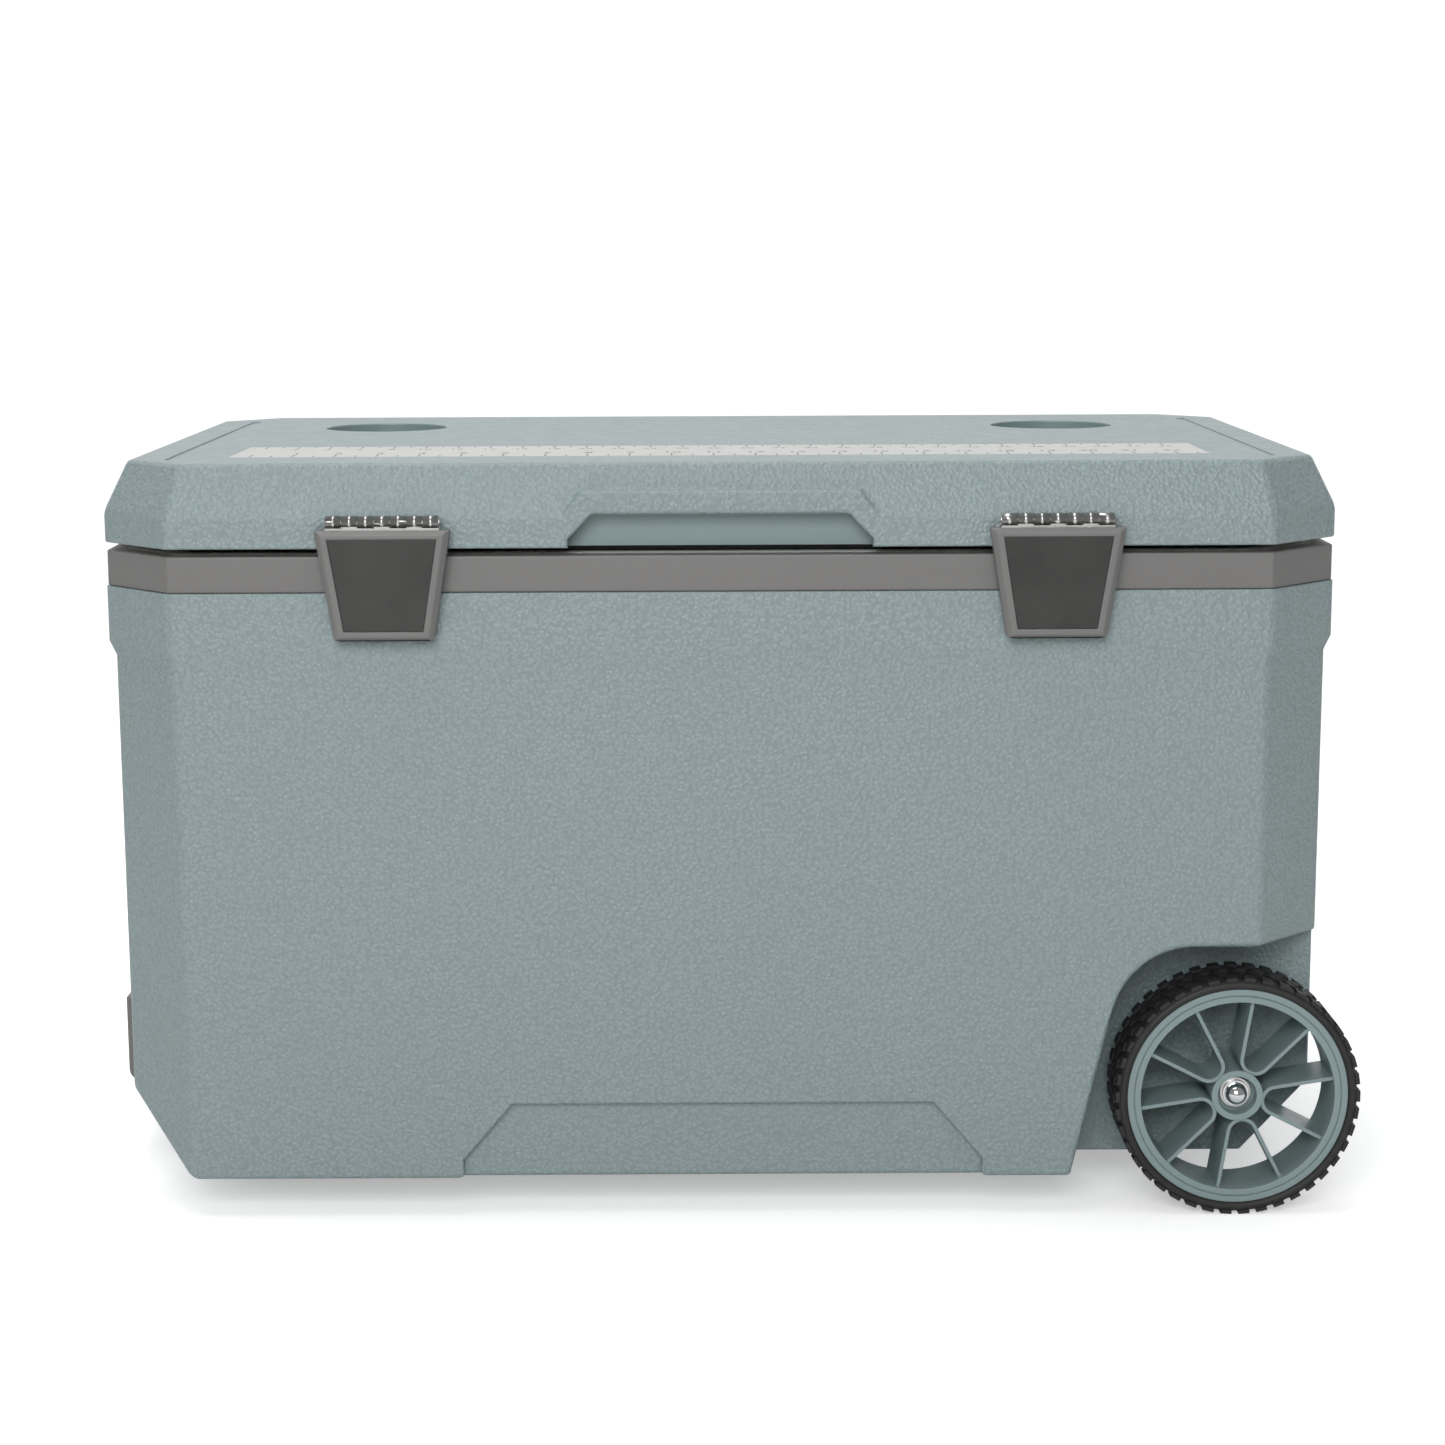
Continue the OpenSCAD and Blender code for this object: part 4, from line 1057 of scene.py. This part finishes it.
def merge_into(pieces: list[bpy.types.Object], name: str) -> bpy.types.Object:
    """Joins several plain objects into one mesh object, keeping their finishes."""
    materials: list[bpy.types.Material] = []
    bm = bmesh.new()
    for piece in pieces:
        start = len(bm.faces)
        bm.from_mesh(piece.data)
        bm.faces.ensure_lookup_table()
        table = []
        for material in piece.data.materials:
            if material not in materials:
                materials.append(material)
            table.append(materials.index(material))
        for face in bm.faces[start:]:
            face.material_index = table[min(face.material_index, len(table) - 1)]
        bpy.data.objects.remove(piece)
    mesh = bpy.data.meshes.new(name)
    bm.to_mesh(mesh)
    bm.free()
    for material in materials:
        mesh.materials.append(material)
    return plain(name, mesh)


@dataclass
class Latch:
    """One front latch: its lid leaf, pin, swinging leaf, frame, plate and rivets."""

    side: Side

    def build(self) -> None:
        """Builds the latch's pieces."""
        tail = "_" + self.side.value
        low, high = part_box("latch_frame" + tail)
        middle = (low.x + high.x) / 2

        def edge_width(mid: Vector, edge: bmesh.types.BMEdge) -> float:
            """Rounding in mm: generous at the frame's lower corners."""
            along = edge.verts[0].co - edge.verts[1].co
            through = abs(along.y) > 0.8 * along.length and along.length > 3 * MM
            outer = abs(mid.x - middle) > 24 * MM
            if through and outer and mid.z < low.z + 8 * MM:
                return 3.0
            return 0.7

        Refined("latch_frame" + tail, GREY, 3.0, edge_width, 4, sharp_deg=14, allowed_mm2=8).build()
        # the plate's dark steel colour is a painted reflection of the dark surroundings in front
        Refined("latch_plate" + tail, BRUSHED_DARK_REFLECTION, 0.25).build()
        Refined("latch_leaf" + tail, STEEL, 0.15, segments=1, allowed_mm2=0).build()
        Refined("latch_lid_leaf" + tail, STEEL, 0.15, segments=1, allowed_mm2=0).build()
        Refined("latch_pin" + tail, STEEL, 0.3).build()
        Refined("latch_rivets" + tail, STEEL, 0.4).build()


def frame_wheel(side: Side) -> Vector:
    """Middle of a wheel."""
    low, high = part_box("tyre_" + side.value)
    return (low + high) / 2


@dataclass
class Wheel:
    """One wheel: a treaded tyre, a rim with looped ribs and a bush."""

    side: Side

    def build(self) -> None:
        """Builds the wheel's pieces."""
        tail = "_" + self.side.value
        self.tyre(tail)
        Refined("rim" + tail, TEAL_SMOOTH, 0.7, segments=2, sharp_deg=30).build()
        Refined("bush" + tail, NYLON, 0.3).build()

    def tyre(self, tail: str) -> None:
        """Turns the tyre's section and sets tread blocks on it."""
        low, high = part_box("tyre" + tail)
        centre = (low + high) / 2
        outer, half = (high.z - low.z) / 2, (high.y - low.y) / 2
        seat = outer - 7.5 * MM
        base = outer - 1.7 * MM
        section = [(seat, -half + 2 * MM), (seat + 0.8 * MM, -half + 0.7 * MM), (seat + 2 * MM, -half),
                   (seat + 3.6 * MM, -half + 0.1 * MM), (base - 1.4 * MM, -half + 0.9 * MM),
                   (base - 0.3 * MM, -half + 2.2 * MM), (base, -half + 4 * MM)]
        section += [(r, -y) for r, y in reversed(section)]
        steps = 160
        bm = bmesh.new()
        rings = []
        for k in range(steps):
            a = 2 * math.pi * k / steps
            rings.append([bm.verts.new((centre.x + r * math.cos(a), centre.y + y, centre.z + r * math.sin(a)))
                          for r, y in section])
        for k in range(steps):
            here, there = rings[k], rings[(k + 1) % steps]
            for i in range(len(section)):
                j = (i + 1) % len(section)
                bm.faces.new((here[i], here[j], there[j], there[i])).smooth = True
        bmesh.ops.recalc_face_normals(bm, faces=bm.faces)
        mesh = bpy.data.meshes.new("tyre_ring" + tail)
        bm.to_mesh(mesh)
        bm.free()
        ring = plain("tyre_ring" + tail, mesh)
        own(ring, TYRE)
        blocks = TreadRing(outer - 1.4 * MM, 2 * half - 1.2 * MM).build("tread" + tail, centre)
        joined = merge_into([ring, blocks], "tyre_skin" + tail)
        place(joined, "tyre" + tail)


@dataclass
class Hardware:
    """Hinges, screws, axle parts and the tow handle."""

    def build(self) -> None:
        """Builds the metal fittings and the tow handle."""
        for side in (Side.LEFT, Side.RIGHT):
            tail = "_" + side.value
            for piece in ("hinge_body_leaf", "hinge_lid_leaf", "hinge_pin"):
                Refined(piece + tail, STEEL, 0.3).build()
        for screws in ("foot_screws", "hinge_body_screws", "hinge_lid_screws", "latch_lid_screws",
                       "handle_bracket_screws"):
            Refined(screws, STEEL, 0.5).build()
        Refined("axle_tube", NYLON, 0.3).build()
        Refined("axle", STEEL, 0.5).build()
        Refined("wheel_washers", STEEL, 0.3).build()
        Refined("axle_caps", CHROME, 0.25, segments=3).build()
        for side in (Side.FRONT, Side.BACK):
            Refined("handle_bracket_" + side.value, GREY, 0.8).build()
        Refined("handle_pins", STEEL, 0.3).build()
        Refined("tow_handle", GREY, 2.0, segments=3).build()
        Refined("tow_handle_grip", BLACK, 1.0).build()
        self.crosses()

    @staticmethod
    def crosses() -> None:
        """Marks the visible screw heads with cross slots, drawn as dark bars of painted shade."""
        groups = (("hinge_body_screws", Vector((0, 1, 0))), ("hinge_lid_screws", Vector((0, 1, 0))),
                  ("handle_bracket_screws", Vector((-1, 0, 0))))
        for node, facing in groups:
            heads = [(middle, facing) for middle in head_middles(node, facing)]
            marks = CrossMarks(heads).build(node + "_slots")
            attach(marks, frame["nodes"][node]["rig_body"])
            LOG.info("%s: %d heads", marks.name, len(heads))


def head_middles(node: str, facing: Vector) -> list[Vector]:
    """Middles of the outermost round faces of a group of screws.

    Args:
        node: The CAD node of the screws.
        facing: The direction in which the heads look.

    Returns:
        One point for each screw, a hair above its head.
    """
    mesh = frame["nodes"][node].data
    reach = max(v.co.dot(facing) for v in mesh.vertices)
    bm = bmesh.new()
    bm.from_mesh(mesh)
    bmesh.ops.remove_doubles(bm, verts=bm.verts, dist=1e-5)
    left = {v for v in bm.verts if v.co.dot(facing) > reach - 1e-5}
    middles = []
    while left:
        seed = next(iter(left))
        near = [v for v in left if (v.co - seed.co).length < 9 * MM]
        total = Vector((0, 0, 0))
        for v in near:
            total += v.co
        middles.append(total / len(near))
        left -= set(near)
    bm.free()
    return sorted(middles, key=lambda p: (round(p.x, 4), round(p.y, 4), round(p.z, 4)))


# ---------------------------------------------------------------- studio


@dataclass
class Studio:
    """Pale floor, lit backdrop, soft lights and the camera."""

    def build(self) -> None:
        """Builds the stage, the lights, the world and the camera."""
        self.floor()
        self.world()
        self.light("key_front", (-0.35, -2.9, 1.7), (0.0, 0.0, 0.25), 1.8, 1.4, 62)
        self.light("top", (-0.3, 0.2, 2.6), (0.0, 0.0, 0.2), 2.4, 1.8, 36)
        self.camera()

    @staticmethod
    def floor() -> None:
        """A large pale floor and a lit white backdrop behind it."""
        mesh = bpy.data.meshes.new("floor")
        mesh.from_pydata([(-12, -12, 0), (12, -12, 0), (12, 12, 0), (-12, 12, 0)], [], [(0, 1, 2, 3)])
        floor = plain("floor", mesh)
        own(floor, Sweep("studio_sweep", "F2F2F2", 0.85))
        wall = bpy.data.meshes.new("backdrop")
        wall.from_pydata([(-7, 4, -0.01), (7, 4, -0.01), (7, 4, 7), (-7, 4, 7)], [], [(0, 1, 2, 3)])
        wall = plain("backdrop", wall)
        own(wall, Lamp("backdrop_lit_white", "FFFFFF", 1.0))

    @staticmethod
    def world() -> None:
        """A pale even world."""
        world = bpy.data.worlds.new("studio")
        world.use_nodes = True
        back = world.node_tree.nodes["Background"]
        back.inputs["Color"].default_value = srgb("FFFFFF")
        back.inputs["Strength"].default_value = 0.3
        bpy.context.scene.world = world

    @staticmethod
    def light(name: str, at: tuple, look: tuple, wide: float, high: float, watts: float) -> None:
        """One soft rectangular light.

        Args:
            name: The light's name.
            at: Where it stands.
            look: The point that it faces.
            wide: Its width in metres.
            high: Its height in metres.
            watts: Its power.
        """
        data = bpy.data.lights.new(name, "AREA")
        data.shape = "RECTANGLE"
        data.size, data.size_y, data.energy = wide, high, watts
        obj = bpy.data.objects.new(name, data)
        obj.location = at
        obj.rotation_euler = (Vector(look) - Vector(at)).to_track_quat("-Z", "Y").to_euler()
        bpy.context.scene.collection.objects.link(obj)

    @staticmethod
    def camera() -> None:
        """The main camera: a long lens a little above the lid, tilted down."""
        data = bpy.data.cameras.new("camera")
        data.sensor_width = 36.0
        data.lens = 70.91
        data.clip_end = 50
        obj = bpy.data.objects.new("camera", data)
        turn = (Matrix.Rotation(math.radians(-0.155), 4, "Z") @ Matrix.Rotation(math.radians(80.131), 4, "X")
                @ Matrix.Rotation(math.radians(-0.248), 4, "Z"))
        obj.matrix_world = Matrix.Translation((-0.0048, -1.8689, 0.5921)) @ turn
        bpy.context.scene.collection.objects.link(obj)
        bpy.context.scene.camera = obj


def main() -> None:
    """Builds each sub-assembly in order, then the studio."""
    space = Envelope.read()
    for part in (Box(space), Lid(space), Latch(Side.LEFT), Latch(Side.RIGHT), Wheel(Side.FRONT),
                 Wheel(Side.BACK), Hardware(), Studio()):
        LOG.info("building %s", type(part).__name__)
        part.build()
    bpy.context.scene.view_settings.view_transform = "Standard"


if __name__ == "__main__":
    main()
